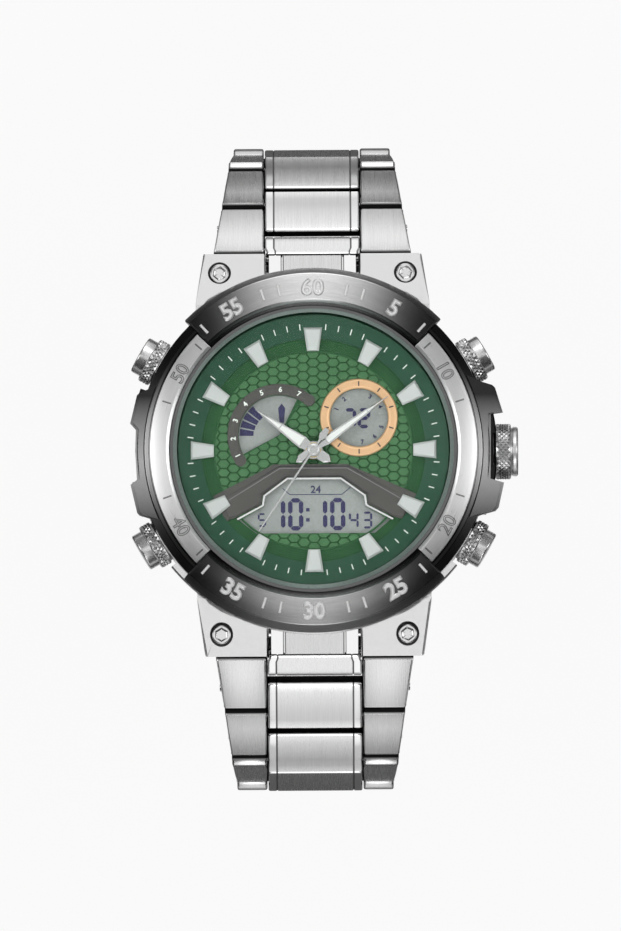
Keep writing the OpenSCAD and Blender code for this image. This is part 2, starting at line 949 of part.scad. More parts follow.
module minute_hand() {
    color("#e6e8e8")
        translate([0, 0, minute_z])
            rotate([0, 0, -minute_deg])
                baton(minute_len, 2.7, 1.1, 1.4, cannon_r + 0.35, cannon_r);
}

// The second hand with its arbor, which turns inside the minute hand's tube
module second_hand() {
    color("#dfe1e1")
        rotate([0, 0, -second_deg]) {
            translate([0, 0, second_z]) {
                linear_extrude(0.15)
                    polygon([
                        [-0.13, 0], [-0.07, second_len], [0.07, second_len], [0.13, 0],
                        [0.13, -1.4], [0.5, -2.1], [0.28, -3.1], [-0.28, -3.1],
                        [-0.5, -2.1], [-0.13, -1.4]
                    ]);
                difference() {
                    cylinder(r = 0.65, h = 0.3);
                    translate([0, 0, 0.2])
                        cylinder(r = 0.12, h = 1);
                }
            }
            translate([0, 0, board_top + 0.05])
                cylinder(r = arbor_r, h = second_z - board_top);
            translate([0, 0, board_top + 0.45])
                cylinder(r = 1.8, h = 0.3);
        }
}

// Crown and pushers

// A round bar along +X with pointed ribs all round
module ribbed_bar(r, depth, ribs, length) {
    rotate([90, 0, 90])
        linear_extrude(length)
            polygon([
                for (i = [0:2 * ribs - 1])
                    let (q = i % 2 == 0 ? r : r - depth)
                        [q * cos(i * 180 / ribs), q * sin(i * 180 / ribs)]
            ]);
}

module crown() {
    tube_room = crown_tube_r + 0.5;
    color(steel)
        on_flank(0)
            difference() {
                union() {
                    translate([crown_x, 0, 0])
                        ribbed_bar(crown_r, 0.22, 40, crown_len);
                    bore_x(crown_r - 0.5, crown_x + crown_len - eps, crown_x + crown_len + 0.8);
                }
                bore_x(tube_room, crown_x - 1, crown_tube_out_x + 0.3);
            }
}

module stem() {
    color(steel)
        on_flank(0) {
            bore_x(stem_r, 9.5, 11.1);
            bore_x(stem_r - 0.25, 11.1, 11.7);
            bore_x(stem_r, 11.7, crown_tube_out_x + 0.3);
        }
}

module crown_gasket() {
    color("#202020")
        on_flank(0)
            translate([crown_x + 0.05, 0, 0])
                rotate([0, 90, 0])
                    tube(crown_tube_r + 0.5, crown_tube_r + running_gap, 0.6);
}

// The fork that sits in the stem's groove and slides with it
module setting_slider() {
    color(steel)
        on_flank(0)
            difference() {
                translate([11.2, -1, -0.7])
                    cube([0.4, 2, plate_top - stem_z + 0.6]);
                translate([11, -0.4, -2])
                    cube([1, 0.8, 2]);
                bore_x(0.4, 11, 12);
            }
}

module crown_tube() {
    color(steel)
        on_flank(0)
            difference() {
                bore_x(crown_tube_r, chamber_r + 0.1, crown_tube_out_x);
                bore_x(stem_r + running_gap, 0, 30);
            }
}

// A pusher's tube: a sleeve through the case and a knurled collar outside it
module pusher_tubes() {
    color(steel)
        for (a = PUSHER_DEG)
            on_flank(a)
                difference() {
                    union() {
                        bore_x(sleeve_r, chamber_r + 0.1, sleeve_end_x);
                        bore_x(collar_root_r, pusher_cavity_x - 0.4, knurl_x + 0.1);
                        translate([knurl_x, 0, 0])
                            ribbed_bar(collar_r, 0.15, 36, collar_x - knurl_x);
                    }
                    bore_x(pusher_stem_r + running_gap, 0, 30);
                    bore_x(button_r + running_gap, pusher_cavity_x, 30);
                }
}

// A spring's coils fill the tube between the cavity's floor and the button
module pusher_springs() {
    color(steel)
        for (a = PUSHER_DEG)
            on_flank(a)
                translate([pusher_cavity_x, 0, 0])
                    rotate([0, 90, 0])
                        tube(1.6, 1, pusher_head_x - pusher_cavity_x);
}

module pusher(deg) {
    edge = 0.3;
    color("#d4d7da")
        on_flank(deg) {
            bore_x(pusher_stem_r, chamber_r - 0.6, pusher_head_x);
            bore_x(button_r, pusher_head_x, button_x - edge);
            translate([button_x - edge, 0, 0])
                rotate([0, 90, 0])
                    cylinder(r1 = button_r, r2 = button_r - edge, h = edge);
        }
}

module pusher_2() { pusher(PUSHER_DEG[0]); }
module pusher_4() { pusher(PUSHER_DEG[1]); }
module pusher_8() { pusher(PUSHER_DEG[2]); }
module pusher_10() { pusher(PUSHER_DEG[3]); }

// Bracelet

// Side outline of an outer link: round about its hinge pin, square at its far end
module outer_side() {
    edge = 0.3;
    far = pitch - centre_step;
    intersection() {
        circle(nose_r);
        square([4, link_t], center = true);
    }
    polygon([
        [0, -link_t / 2], [far, -link_t / 2], [far, link_t / 2 - edge],
        [far - edge, link_t / 2], [0, link_t / 2]
    ]);
}

// Side outline of a centre link: square at its start, round about the next hinge pin
module centre_side() {
    edge = 0.3;
    translate([pitch, 0])
        intersection() {
            circle(nose_r);
            square([4, link_t], center = true);
        }
    polygon([
        [centre_step, -link_t / 2], [pitch, -link_t / 2], [pitch, link_t / 2],
        [centre_step + edge, link_t / 2], [centre_step, link_t / 2 - edge]
    ]);
}

// Cross outline of a bar with bevelled upper edges, from x0 to x1
module bevelled(x0, x1, bevel) {
    polygon([
        [x0, -link_t / 2], [x1, -link_t / 2], [x1, link_t / 2 - bevel],
        [x1 - bevel, link_t / 2], [x0 + bevel, link_t / 2], [x0, link_t / 2 - bevel]
    ]);
}

// Extrudes a cross outline drawn in (x, z) along the link
module lengthways() {
    translate([0, 2 * pitch, 0])
        rotate([90, 0, 0])
            linear_extrude(3 * pitch)
                children();
}

module outer_link(w0, w1) {
    taper = atan((w0 - w1) / 2 / pitch);
    difference() {
        intersection() {
            translate([side_x + 5, 0, 0])
                across(10)
                    outer_side();
            lengthways()
                bevelled(side_x, side_x + 12, 0.25);
            translate([w0 / 2, -nose_r, 0])
                rotate([0, 0, taper])
                    lengthways()
                        bevelled(-12, 0, 0.3);
        }
        rod(pin_r + fixed_gap, 40);
        translate([0, pitch / 2 - 0.1, 0])
            rod(pin_r + fixed_gap, 40);
    }
}

module centre_link() {
    groove_x = centre_w - 1.1;
    difference() {
        intersection() {
            across(2 * centre_w)
                centre_side();
            lengthways()
                bevelled(-centre_w, centre_w, 0.2);
        }
        for (s = [-1, 1])
            translate([s * groove_x, pitch, link_t / 2])
                cube([0.16, 3 * pitch, 0.3], center = true);
        translate([0, pitch / 2 - 0.1, 0])
            rod(pin_r + fixed_gap, 40);
        translate([0, pitch, 0])
            rod(pin_r + running_gap, 40);
    }
}

// A row: the centre link, its two outer links, the pin that joins them and the hinge pin
module row(i) {
    w0 = row_w(i);
    w1 = row_w(i + 1);
    color(steel) {
        centre_link();
        outer_link(w0, w1);
        mirror([1, 0, 0])
            outer_link(w0, w1);
        rod(pin_r, min(w0, w1) - 1.2);
        translate([0, pitch / 2 - 0.1, 0])
            rod(pin_r, w1 - 1.2);
    }
}

// Puts row i of one half in its place in the closed bracelet
module placed_row(i, half) {
    p = pin_at(i);
    mirror([0, half, 0])
        translate([0, p[0], p[1]])
            rotate([LINK_DEG[i], 0, 0])
                row(i);
}

// The spring bar that ties the last row of the 12 o'clock half to the clasp's cover
module clasp_spring_bar() {
    color(steel)
        translate([0, last_pin[0], last_pin[1]])
            rod(pin_r, 2 * wall_in - 1.2);
}

module link_12_1() { placed_row(0, 0); }
module link_12_2() { placed_row(1, 0); }
module link_12_3() { placed_row(2, 0); }
module link_12_4() { placed_row(3, 0); }
module link_12_5() { placed_row(4, 0); }
module link_12_6() { placed_row(5, 0); }
module link_12_7() {
    placed_row(6, 0);
    clasp_spring_bar();
}
module link_6_1() { placed_row(0, 1); }
module link_6_2() { placed_row(1, 1); }
module link_6_3() { placed_row(2, 1); }
module link_6_4() { placed_row(3, 1); }
module link_6_5() { placed_row(4, 1); }
module link_6_6() { placed_row(5, 1); }
module link_6_7() { placed_row(6, 1); }

// Clasp

// Puts children on the clasp's arc: s along it towards 12 o'clock, w outwards
module on_arc(s, w) {
    a = asin(s / clasp_arc_r);
    translate([0, 0, clasp_centre_z])
        rotate([a, 0, 0])
            translate([0, 0, -clasp_arc_r - w])
                children();
}

// Sweeps an outline drawn in (outwards, x) along the arc from s0 to s1
module arc_sweep(s0, s1) {
    a0 = asin(s0 / clasp_arc_r);
    a1 = asin(s1 / clasp_arc_r);
    translate([0, 0, clasp_centre_z])
        rotate([0, 90, 0])
            rotate([0, 0, a0])
                rotate_extrude(angle = a1 - a0)
                    translate([clasp_arc_r, 0])
                        children();
}

// A strip of sheet on the arc: from s0 to s1 along it, x0 to x1 across, t thick from w0
module strip(s0, s1, x0, x1, w0, t) {
    arc_sweep(s0, s1)
        translate([w0, x0])
            square([t, x1 - x0]);
}

module both_sides() {
    children();
    mirror([1, 0, 0])
        children();
}

// A pair of knuckles, from x0 to x1 on both sides, drilled for their pin
module knuckles(x0, x1, r) {
    for (side = [0, 1])
        mirror([side, 0, 0])
            translate([(x0 + x1) / 2, 0, 0])
                rod(r, x1 - x0);
}

module clasp_inner_blade() {
    start = -last_pin[0];
    blade_end = fold_s - knuckle_r - 0.4;
    lap = 0.02;
    color(steel) {
        difference() {
            union() {
                strip(start + 2.4, blade_end, -inner_blade_w, inner_blade_w, inner_in, sheet_t);
                both_sides() {
                    on_arc(start, 0)
                        translate([(ear_in + inner_blade_w) / 2, 0, 0])
                            rod(ear_r, inner_blade_w - ear_in);
                    strip(start, start + 3.4, ear_in, inner_blade_w - lap, inner_in + lap, 1.6);
                    strip(blade_end - 0.6, fold_s, middle_blade_w + 0.2, fold_ear_w, inner_in + lap, sheet_t);
                }
                on_arc(fold_s, fold_w)
                    knuckles(middle_blade_w + 0.2, fold_ear_w, knuckle_r + 0.15);
            }
            on_arc(fold_s, fold_w)
                rod(clasp_pin_r + fixed_gap, 40);
            on_arc(start, 0)
                rod(pin_r + fixed_gap, 40);
        }
        on_arc(fold_s, fold_w)
            rod(clasp_pin_r, 2 * fold_ear_w);
        on_arc(start, 0)
            rod(pin_r, 2 * inner_blade_w);
    }
}

module clasp_middle_blade() {
    barrel_r = knuckle_r - 0.05;
    slot_l = 12;
    slot_w = 4;
    color(steel) {
        difference() {
            union() {
                strip(-lift_s, fold_s, -middle_blade_w, middle_blade_w, middle_in, sheet_t);
                on_arc(fold_s, fold_w)
                    rod(barrel_r, 2 * middle_blade_w);
                on_arc(-lift_s, lift_w)
                    rod(barrel_r, 2 * middle_blade_w);
            }
            on_arc(fold_s, fold_w)
                rod(clasp_pin_r + running_gap, 40);
            on_arc(-lift_s, lift_w)
                rod(clasp_pin_r + fixed_gap, 40);
            strip(-slot_l / 2, slot_l / 2, -slot_w / 2, slot_w / 2, middle_in - 1, 3);
        }
        on_arc(-lift_s, lift_w)
            rod(clasp_pin_r, 2 * fold_ear_w);
    }
}

// The cover: a curved plate with two side walls, open at its 12 o'clock end
module clasp_cover() {
    plate_end = fold_s + 1;
    wall_end = last_pin[0] + 1.3;
    wall_start = -lift_s - 0.3;
    wall_low = -1.2;
    cover_out = cover_in + sheet_t;
    hole_pitch = 2.6;
    color(steel)
        difference() {
            union() {
                arc_sweep(wall_start, wall_end)
                    polygon([
                        [cover_in, -wall_in], [wall_low, -wall_in], [wall_low, -cover_w],
                        [cover_out - 0.25, -cover_w], [cover_out, -cover_w + 0.25],
                        [cover_out, cover_w - 0.25], [cover_out - 0.25, cover_w],
                        [wall_low, cover_w], [wall_low, wall_in], [cover_in, wall_in]
                    ]);
                both_sides()
                    strip(wall_start + 0.05, -lift_s + 0.8, middle_blade_w + 0.25, fold_ear_w - 0.1, lift_w, cover_in - lift_w + 0.1);
                on_arc(-lift_s, lift_w)
                    knuckles(middle_blade_w + 0.15, fold_ear_w, knuckle_r);
            }
            strip(plate_end, wall_end + 1, -wall_in + 0.4, wall_in - 0.4, cover_in - 0.3, sheet_t + 1);
            on_arc(-lift_s, lift_w)
                rod(clasp_pin_r + running_gap, 2 * fold_ear_w + 0.4);
            for (k = [0:2])
                on_arc(last_pin[0] - k * hole_pitch, 0)
                    rod(0.6, 40);
        }
}

case_middle();
case_back();
case_back_gasket();
case_back_screws();
lug_screws();
spring_bars();
end_links();
bezel_base();
bezel_bridges();
bezel_inlay();
crown_guards();
crystal();
crystal_gasket();
rehaut();
dial();
hour_markers();
bridge_frame();
lcd_trim();
day_ring();
gold_ring();
lcd_panel();
movement_holder();
movement_plate();
circuit_board();
coil();
battery();
piezo_disc();
hour_wheel();
hour_hand();
cannon_pinion();
minute_hand();
second_hand();
crown();
stem();
crown_gasket();
setting_slider();
crown_tube();
pusher_tubes();
pusher_springs();
pusher_2();
pusher_4();
pusher_8();
pusher_10();
link_12_1();
link_12_2();
link_12_3();
link_12_4();
link_12_5();
link_12_6();
link_12_7();
link_6_1();
link_6_2();
link_6_3();
link_6_4();
link_6_5();
link_6_6();
link_6_7();
clasp_inner_blade();
clasp_middle_blade();
clasp_cover();
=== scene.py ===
# %% [markdown]
# # A steel wristwatch with a green dial
# The imported CAD model is loaded as a fixed frame. Every piece made here sits in that frame, in
# metres, with Z upwards out of the dial, +Y towards 12 o'clock and +X towards 3 o'clock.
# The box of the CAD model is kept: its lowest point is the level that the floor is set from.

# %% Load the frame
import json
import math

import bmesh
import bpy
import numpy as np
from mathutils import Matrix, Vector

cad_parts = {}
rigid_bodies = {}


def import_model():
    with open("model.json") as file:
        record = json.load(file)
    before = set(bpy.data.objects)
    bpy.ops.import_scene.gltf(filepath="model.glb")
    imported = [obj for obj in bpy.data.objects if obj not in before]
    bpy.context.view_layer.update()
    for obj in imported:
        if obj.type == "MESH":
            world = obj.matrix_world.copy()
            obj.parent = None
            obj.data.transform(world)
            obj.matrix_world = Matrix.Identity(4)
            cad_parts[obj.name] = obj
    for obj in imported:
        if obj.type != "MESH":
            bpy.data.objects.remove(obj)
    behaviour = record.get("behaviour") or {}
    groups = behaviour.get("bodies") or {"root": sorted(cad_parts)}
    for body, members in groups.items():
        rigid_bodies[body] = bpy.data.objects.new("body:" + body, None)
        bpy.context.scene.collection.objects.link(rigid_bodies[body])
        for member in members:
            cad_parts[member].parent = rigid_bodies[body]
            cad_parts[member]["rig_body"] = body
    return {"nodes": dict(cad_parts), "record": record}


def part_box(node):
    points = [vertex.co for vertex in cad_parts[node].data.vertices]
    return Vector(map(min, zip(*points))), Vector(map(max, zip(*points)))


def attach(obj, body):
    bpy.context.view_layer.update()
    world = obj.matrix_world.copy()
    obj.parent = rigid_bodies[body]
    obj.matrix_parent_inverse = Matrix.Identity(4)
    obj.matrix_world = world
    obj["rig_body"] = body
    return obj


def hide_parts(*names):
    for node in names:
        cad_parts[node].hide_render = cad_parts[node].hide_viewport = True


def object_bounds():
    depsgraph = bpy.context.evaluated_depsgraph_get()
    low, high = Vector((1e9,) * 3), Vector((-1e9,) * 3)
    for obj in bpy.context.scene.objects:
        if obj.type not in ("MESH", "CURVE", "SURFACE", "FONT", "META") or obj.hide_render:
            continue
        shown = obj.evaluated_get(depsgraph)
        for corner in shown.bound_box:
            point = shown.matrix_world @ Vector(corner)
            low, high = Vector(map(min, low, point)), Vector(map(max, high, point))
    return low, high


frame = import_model()
nodes = frame["nodes"]
cad_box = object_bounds()

# %% [markdown]
# ## Units and levels
# All lengths are written in millimetres and multiplied by mm. The levels of the dial, the bezel and
# the crystal are read from the frame's boxes, so they always agree with the solids.

# %% Levels read from the frame
mm = 0.001
TAU = 2 * math.pi


def top_of(node):
    """The highest level of a CAD node, in metres."""
    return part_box(node)[1].z


dial_z = top_of("dial")
glass_z = top_of("rehaut")
bezel_z = top_of("bezel_bridges")
panel_z = top_of("lcd_panel")
case_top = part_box("bezel_base")[0].z
hour_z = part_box("hour_hand")[0].z
minute_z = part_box("minute_hand")[0].z
floor_z = cad_box[0].z
stem_z = (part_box("crown")[0].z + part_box("crown")[1].z) / 2
print(f"dial {dial_z / mm:.2f} mm, bezel {bezel_z / mm:.2f} mm, crown axis {stem_z / mm:.2f} mm")

# %% [markdown]
# ## Camera
# The photograph looks down on the dial from 5 degrees towards 6 o'clock, from so far away that the
# view is nearly flat. A long lens at three metres gives that. The frame is portrait, so the
# sensor's width covers its height.

# %% Camera
VIEW_DISTANCE = 3.0
VIEW_ELEVATION = math.radians(85)
VIEW_ROLL = math.radians(-0.35)
VIEW_HEIGHT = 116.4 * mm
VIEW_TARGET = Vector((-0.39 * mm, -1.88 * mm, dial_z))


def add_camera():
    """Puts the camera on a ray from the target, at an elevation above the horizon."""
    data = bpy.data.cameras.new("camera")
    data.sensor_width = 36
    data.lens = data.sensor_width * VIEW_DISTANCE / VIEW_HEIGHT
    data.clip_start = 0.05
    data.clip_end = 20
    camera = bpy.data.objects.new("camera", data)
    bpy.context.scene.collection.objects.link(camera)
    back = Vector((0, -math.cos(VIEW_ELEVATION), math.sin(VIEW_ELEVATION)))
    camera.location = VIEW_TARGET + back * VIEW_DISTANCE
    turn = (-back).to_track_quat("-Z", "Y").to_matrix() @ Matrix.Rotation(VIEW_ROLL, 3, "Z")
    camera.rotation_euler = turn.to_euler()
    return camera


bpy.context.scene.camera = add_camera()
bpy.context.scene.view_settings.view_transform = "Standard"
print(f"lens {bpy.context.scene.camera.data.lens:.0f} mm")

# %% [markdown]
# ## Node tools
# A material is a small network of nodes. These helpers add a node, join two sockets and set plain
# values, so that each material below reads as a short recipe.

# %% Node tools


class Network:
    """Adds nodes to one node tree and joins their sockets."""

    def __init__(self, tree):
        self.tree = tree

    def add(self, kind, inputs=None, **settings):
        """Adds a node of a kind. A socket's value is a number, a colour or another node's socket."""
        node = self.tree.nodes.new(kind)
        for name, value in settings.items():
            setattr(node, name, value)
        for key, value in (inputs or {}).items():
            self.put(node.inputs[key], value)
        return node

    def put(self, socket, value):
        """Joins a socket to another one, or sets its plain value."""
        if isinstance(value, bpy.types.NodeSocket):
            self.tree.links.new(value, socket)
        else:
            socket.default_value = value

    def math(self, operation, a, b=0.0, c=0.0, clamp=False):
        """One arithmetic step on numbers or sockets."""
        inputs = {0: a, 1: b, 2: c}
        return self.add("ShaderNodeMath", inputs, operation=operation, use_clamp=clamp).outputs[0]

    def mix(self, share, a, b):
        """A colour between a and b."""
        node = self.add("ShaderNodeMix", data_type="RGBA")
        self.put(node.inputs["Factor"], share)
        self.put(node.inputs["A"], a)
        self.put(node.inputs["B"], b)
        return node.outputs["Result"]

    def blend(self, share, a, b):
        """A number between a and b."""
        node = self.add("ShaderNodeMix", data_type="FLOAT")
        self.put(node.inputs["Factor"], share)
        self.put(node.inputs["A"], a)
        self.put(node.inputs["B"], b)
        return node.outputs["Result"]


def grey(level):
    """A neutral colour: red, green and blue are the same."""
    return (level, level, level, 1)


def new_group(name, inputs, outputs):
    """A shader node group with named inputs (name, kind, default) and outputs (name, kind)."""
    tree = bpy.data.node_groups.new(name, "ShaderNodeTree")
    for label, kind, default in inputs:
        socket = tree.interface.new_socket(label, in_out="INPUT", socket_type="NodeSocket" + kind)
        if default is not None:
            socket.default_value = default
    for label, kind in outputs:
        tree.interface.new_socket(label, in_out="OUTPUT", socket_type="NodeSocket" + kind)
    net = Network(tree)
    return tree, net, net.add("NodeGroupInput").outputs, net.add("NodeGroupOutput").inputs


# %% [markdown]
# ## Shared effects
# Four effects come back in many finishes. Brushed grain is noise drawn out along one direction,
# as an abrasive belt leaves it. Fine marks are a cloudy noise that makes a polished face a little
# uneven. Turned rings are grooves round an axis, as a lathe leaves them. Turned sheen is a painted
# highlight: the bow-tie of bright and dark sectors that such fine grooves show, put into the colour.

# %% Shader groups


def make_grain_group():
    """Noise drawn out along Y of the given vector (in mm): two scales of streaks are added."""
    tree, net, source, sink = new_group(
        "brushed_grain",
        [("Vector", "Vector", None), ("Fineness", "Float", 7.0), ("Stretch", "Float", 0.04)],
        [("Streaks", "Float"), ("Height", "Float")],
    )
    stretch = net.add("ShaderNodeCombineXYZ", {0: 1.0, 1: source["Stretch"], 2: 1.0})
    drawn = net.add(
        "ShaderNodeVectorMath", {0: source["Vector"], 1: stretch.outputs[0]}, operation="MULTIPLY"
    )
    fine = net.add("ShaderNodeTexNoise", {"Vector": drawn.outputs[0], "Scale": source["Fineness"]})
    fine.inputs["Detail"].default_value = 3
    broad_scale = net.math("MULTIPLY", source["Fineness"], 0.22)
    broad = net.add("ShaderNodeTexNoise", {"Vector": drawn.outputs[0], "Scale": broad_scale})
    both = net.blend(0.35, fine.outputs[0], broad.outputs[0])
    streaks = net.math("MULTIPLY_ADD", both, 3.0, -1.0, clamp=True)
    net.put(sink["Streaks"], streaks)
    net.put(sink["Height"], fine.outputs[0])
    return tree


def make_marks_group():
    """Cloudy noise for the uneven gloss of a handled surface, with small flecks on top."""
    tree, net, source, sink = new_group(
        "fine_marks",
        [("Vector", "Vector", None), ("Scale", "Float", 1.0)],
        [("Cloud", "Float"), ("Flecks", "Float")],
    )
    cloud = net.add("ShaderNodeTexNoise", {"Vector": source["Vector"], "Scale": source["Scale"]})
    cloud.inputs["Detail"].default_value = 4
    fleck_scale = net.math("MULTIPLY", source["Scale"], 9.0)
    flecks = net.add("ShaderNodeTexNoise", {"Vector": source["Vector"], "Scale": fleck_scale})
    net.put(sink["Cloud"], cloud.outputs[0])
    net.put(sink["Flecks"], net.math("MULTIPLY_ADD", flecks.outputs[0], 2.5, -0.75, clamp=True))
    return tree


def make_rings_group():
    """Grooves round the Z axis of the given vector: a sine wave of the distance from the axis."""
    tree, net, source, sink = new_group(
        "turned_rings",
        [("Vector", "Vector", None), ("Rings per mm", "Float", 5.0)],
        [("Radius", "Float"), ("Turn", "Float"), ("Wave", "Float")],
    )
    parts = net.add("ShaderNodeSeparateXYZ", {0: source["Vector"]}).outputs
    east, north = net.math("MULTIPLY", parts[0], parts[0]), net.math("MULTIPLY", parts[1], parts[1])
    radius = net.math("SQRT", net.math("ADD", east, north))
    turn = net.math("ARCTAN2", parts[1], parts[0])
    phase = net.math("MULTIPLY", net.math("MULTIPLY", radius, source["Rings per mm"]), TAU)
    wave = net.math("MULTIPLY_ADD", net.math("SINE", phase), 0.5, 0.5)
    net.put(sink["Radius"], radius)
    net.put(sink["Turn"], turn)
    net.put(sink["Wave"], wave)
    return tree


def make_sheen_group():
    """The bow-tie sheen of metal turned round the Z axis, for painted highlights: bright towards X and
    Y, dark between them. It is the square of the cosine of twice the angle, which is (x2 - y2) over
    (x2 + y2), squared."""
    inputs, outputs = [("Vector", "Vector", None)], [("Sheen", "Float")]
    tree, net, source, sink = new_group("turned_sheen", inputs, outputs)
    parts = net.add("ShaderNodeSeparateXYZ", {0: source["Vector"]}).outputs
    east, north = net.math("MULTIPLY", parts[0], parts[0]), net.math("MULTIPLY", parts[1], parts[1])
    whole = net.math("MAXIMUM", net.math("ADD", east, north), 0.001)
    ratio = net.math("DIVIDE", net.math("SUBTRACT", east, north), whole)
    net.put(sink["Sheen"], net.math("MULTIPLY", ratio, ratio))
    return tree


grain_group = make_grain_group()
sheen_group = make_sheen_group()
marks_group = make_marks_group()
rings_group = make_rings_group()
print("groups:", grain_group.name, marks_group.name, rings_group.name, sheen_group.name)

# %% [markdown]
# ## A base for every finish
# Each material starts from one Principled BSDF. Object coordinates are turned into millimetres by a
# Mapping node, so that every scale below is a number of features per millimetre.

# %% Material base


class Finish(Network):
    """A new material with one Principled BSDF and coordinates in millimetres."""

    def __init__(self, name, **constants):
        self.material = bpy.data.materials.new(name)
        self.material.use_nodes = True
        super().__init__(self.material.node_tree)
        self.shader = self.tree.nodes["Principled BSDF"]
        for key, value in constants.items():
            self.shader.inputs[key.replace("_", " ")].default_value = value
        place = self.add("ShaderNodeTexCoord").outputs["Object"]
        self.place = self.to_mm(place)

    def to_mm(self, vector, turn=(0, 0, 0), centre=(0, 0, 0)):
        """A vector in metres turned into millimetres, about a centre given in millimetres."""
        node = self.add("ShaderNodeMapping", {"Vector": vector})
        node.inputs["Scale"].default_value = (1 / mm, 1 / mm, 1 / mm)
        node.inputs["Rotation"].default_value = turn
        node.inputs["Location"].default_value = [-c for c in centre]
        return node.outputs[0]

    def uv(self):
        """The piece's own UV map, which is in millimetres already."""
        return self.add("ShaderNodeUVMap", uv_map="along").outputs[0]

    def mask(self, name):
        """A number that the piece's mesh carries at its vertices."""
        return self.add("ShaderNodeAttribute", attribute_name=name).outputs["Fac"]

    def group(self, tree, inputs):
        """Places a shared group and returns its outputs by name."""
        node = self.add("ShaderNodeGroup", node_tree=tree)
        for key, value in inputs.items():
            self.put(node.inputs[key], value)
        return node.outputs

    def set(self, socket, value):
        """Joins or sets one socket of the Principled BSDF."""
        self.put(self.shader.inputs[socket], value)

    def bent(self, rings, per_turn):
        """A vector whose Y runs round the axis: the radius, then the angle times a rate."""
        around = self.math("MULTIPLY", rings["Turn"], per_turn)
        return self.add("ShaderNodeCombineXYZ", {0: rings["Radius"], 1: around}).outputs[0]

    def bump(self, height, strength, distance):
        """Relief from a height between 0 and 1: distance is the depth in metres."""
        node = self.add("ShaderNodeBump", {"Height": height, "Strength": strength, "Distance": distance})
        self.set("Normal", node.outputs[0])


# %% [markdown]
# ## Steel finishes
# The bracelet is brushed along its length and polished on its edges and bands. The mesh carries a
# mask named polish, which is 1 on those bands, so that one material holds both finishes, and one named
# gap, which is painted shade: 1 in the crevices and slits between the links, where the steel is
# painted nearly black, and rising towards the far end of the first rows. The case, the bezel's
# silver arcs and the clasp have finishes of their own.

# %% Steel finishes


def link_steel():
    """Brushed along the UV map's second axis, polished where the polish mask says, and painted dark as
    painted shade where the gap mask says.
    """
    finish = Finish("bracelet_steel", Metallic=1.0)
    polish = finish.mask("polish")
    grain = finish.group(grain_group, {"Vector": finish.uv(), "Fineness": 9.0, "Stretch": 0.02})
    # The gap mask is painted shade: near black in crevices and slits, darker towards far link ends.
    gap = finish.mask("gap")
    rough = finish.math("MULTIPLY_ADD", grain["Streaks"], 0.08, 0.22)
    finish.set("Roughness", finish.blend(gap, finish.blend(polish, rough, 0.1), 0.5))
    brushed = finish.mix(grain["Streaks"], grey(0.8), grey(0.92))
    tone = finish.mix(polish, brushed, grey(0.93))
    finish.set("Base Color", finish.mix(gap, tone, grey(0.012)))
    depth = finish.math("SUBTRACT", 1.0, polish)
    finish.bump(finish.math("MULTIPLY", grain["Height"], depth), 0.35, 0.01 * mm)
    return finish.material


def lengthwise_steel(name, half_width):
    """Brushed along Y within half_width of the middle, polished outside it. The grain leaves out Z,
    so that it runs straight over a sloping face."""
    finish = Finish(name, Metallic=1.0)
    parts = finish.add("ShaderNodeSeparateXYZ", {0: finish.place}).outputs
    flat = finish.add("ShaderNodeCombineXYZ", {0: parts[0], 1: parts[1]}).outputs[0]
    side = finish.math("ABSOLUTE", parts[0])
    polish = finish.math("GREATER_THAN", side, half_width)
    grain = finish.group(grain_group, {"Vector": flat, "Fineness": 9.0, "Stretch": 0.02})
    rough = finish.math("MULTIPLY_ADD", grain["Streaks"], 0.08, 0.24)
    finish.set("Roughness", finish.blend(polish, rough, 0.1))
    brushed = finish.mix(grain["Streaks"], grey(0.66), grey(0.8))
    # A dark line just outside the brushed middle is painted shade, standing in for a fine groove.
    from_line = finish.math("ABSOLUTE", finish.math("SUBTRACT", side, half_width + 0.16))
    groove_shade = finish.math("COMPARE", from_line, 0.14, 0.05)
    tone = finish.mix(polish, brushed, grey(0.9))
    finish.set("Base Color", finish.mix(groove_shade, tone, grey(0.06)))
    depth = finish.math("SUBTRACT", 1.0, polish)
    finish.bump(finish.math("MULTIPLY", grain["Height"], depth), 0.35, 0.01 * mm)
    return finish.material


def case_finish():
    """The case: satin steel, near black beyond 21.9 mm from the axis and within 9.9 mm of the line
    through 3 and 9 o'clock, on the flanks that carry the crown guards.
    """
    finish = Finish("case_steel", Metallic=1.0)
    marks = finish.group(marks_group, {"Vector": finish.place, "Scale": 1.4})
    parts = finish.add("ShaderNodeSeparateXYZ", {0: finish.place}).outputs
    rings = finish.group(rings_group, {"Vector": finish.place})
    outside = finish.math("GREATER_THAN", rings["Radius"], 21.9)
    beside = finish.math("LESS_THAN", finish.math("ABSOLUTE", parts[1]), 9.9)
    dark_flank = finish.math("MULTIPLY", outside, beside)
    satin = finish.mix(marks["Flecks"], grey(0.74), grey(0.8))
    finish.set("Base Color", finish.mix(dark_flank, satin, grey(0.02)))
    finish.set("Roughness", finish.math("MULTIPLY_ADD", marks["Cloud"], 0.1, 0.2))
    finish.bump(marks["Flecks"], 0.12, 0.01 * mm)
    return finish.material


def satin_steel(name, level, roughness):
    """Bead blasted and lightly polished: cloudy gloss with fine flecks."""
    finish = Finish(name, Metallic=1.0)
    marks = finish.group(marks_group, {"Vector": finish.place, "Scale": 1.4})
    finish.set("Roughness", finish.math("MULTIPLY_ADD", marks["Cloud"], 0.1, roughness - 0.05))
    finish.set("Base Color", finish.mix(marks["Flecks"], grey(level * 0.94), grey(level)))
    finish.bump(marks["Flecks"], 0.12, 0.01 * mm)
    return finish.material


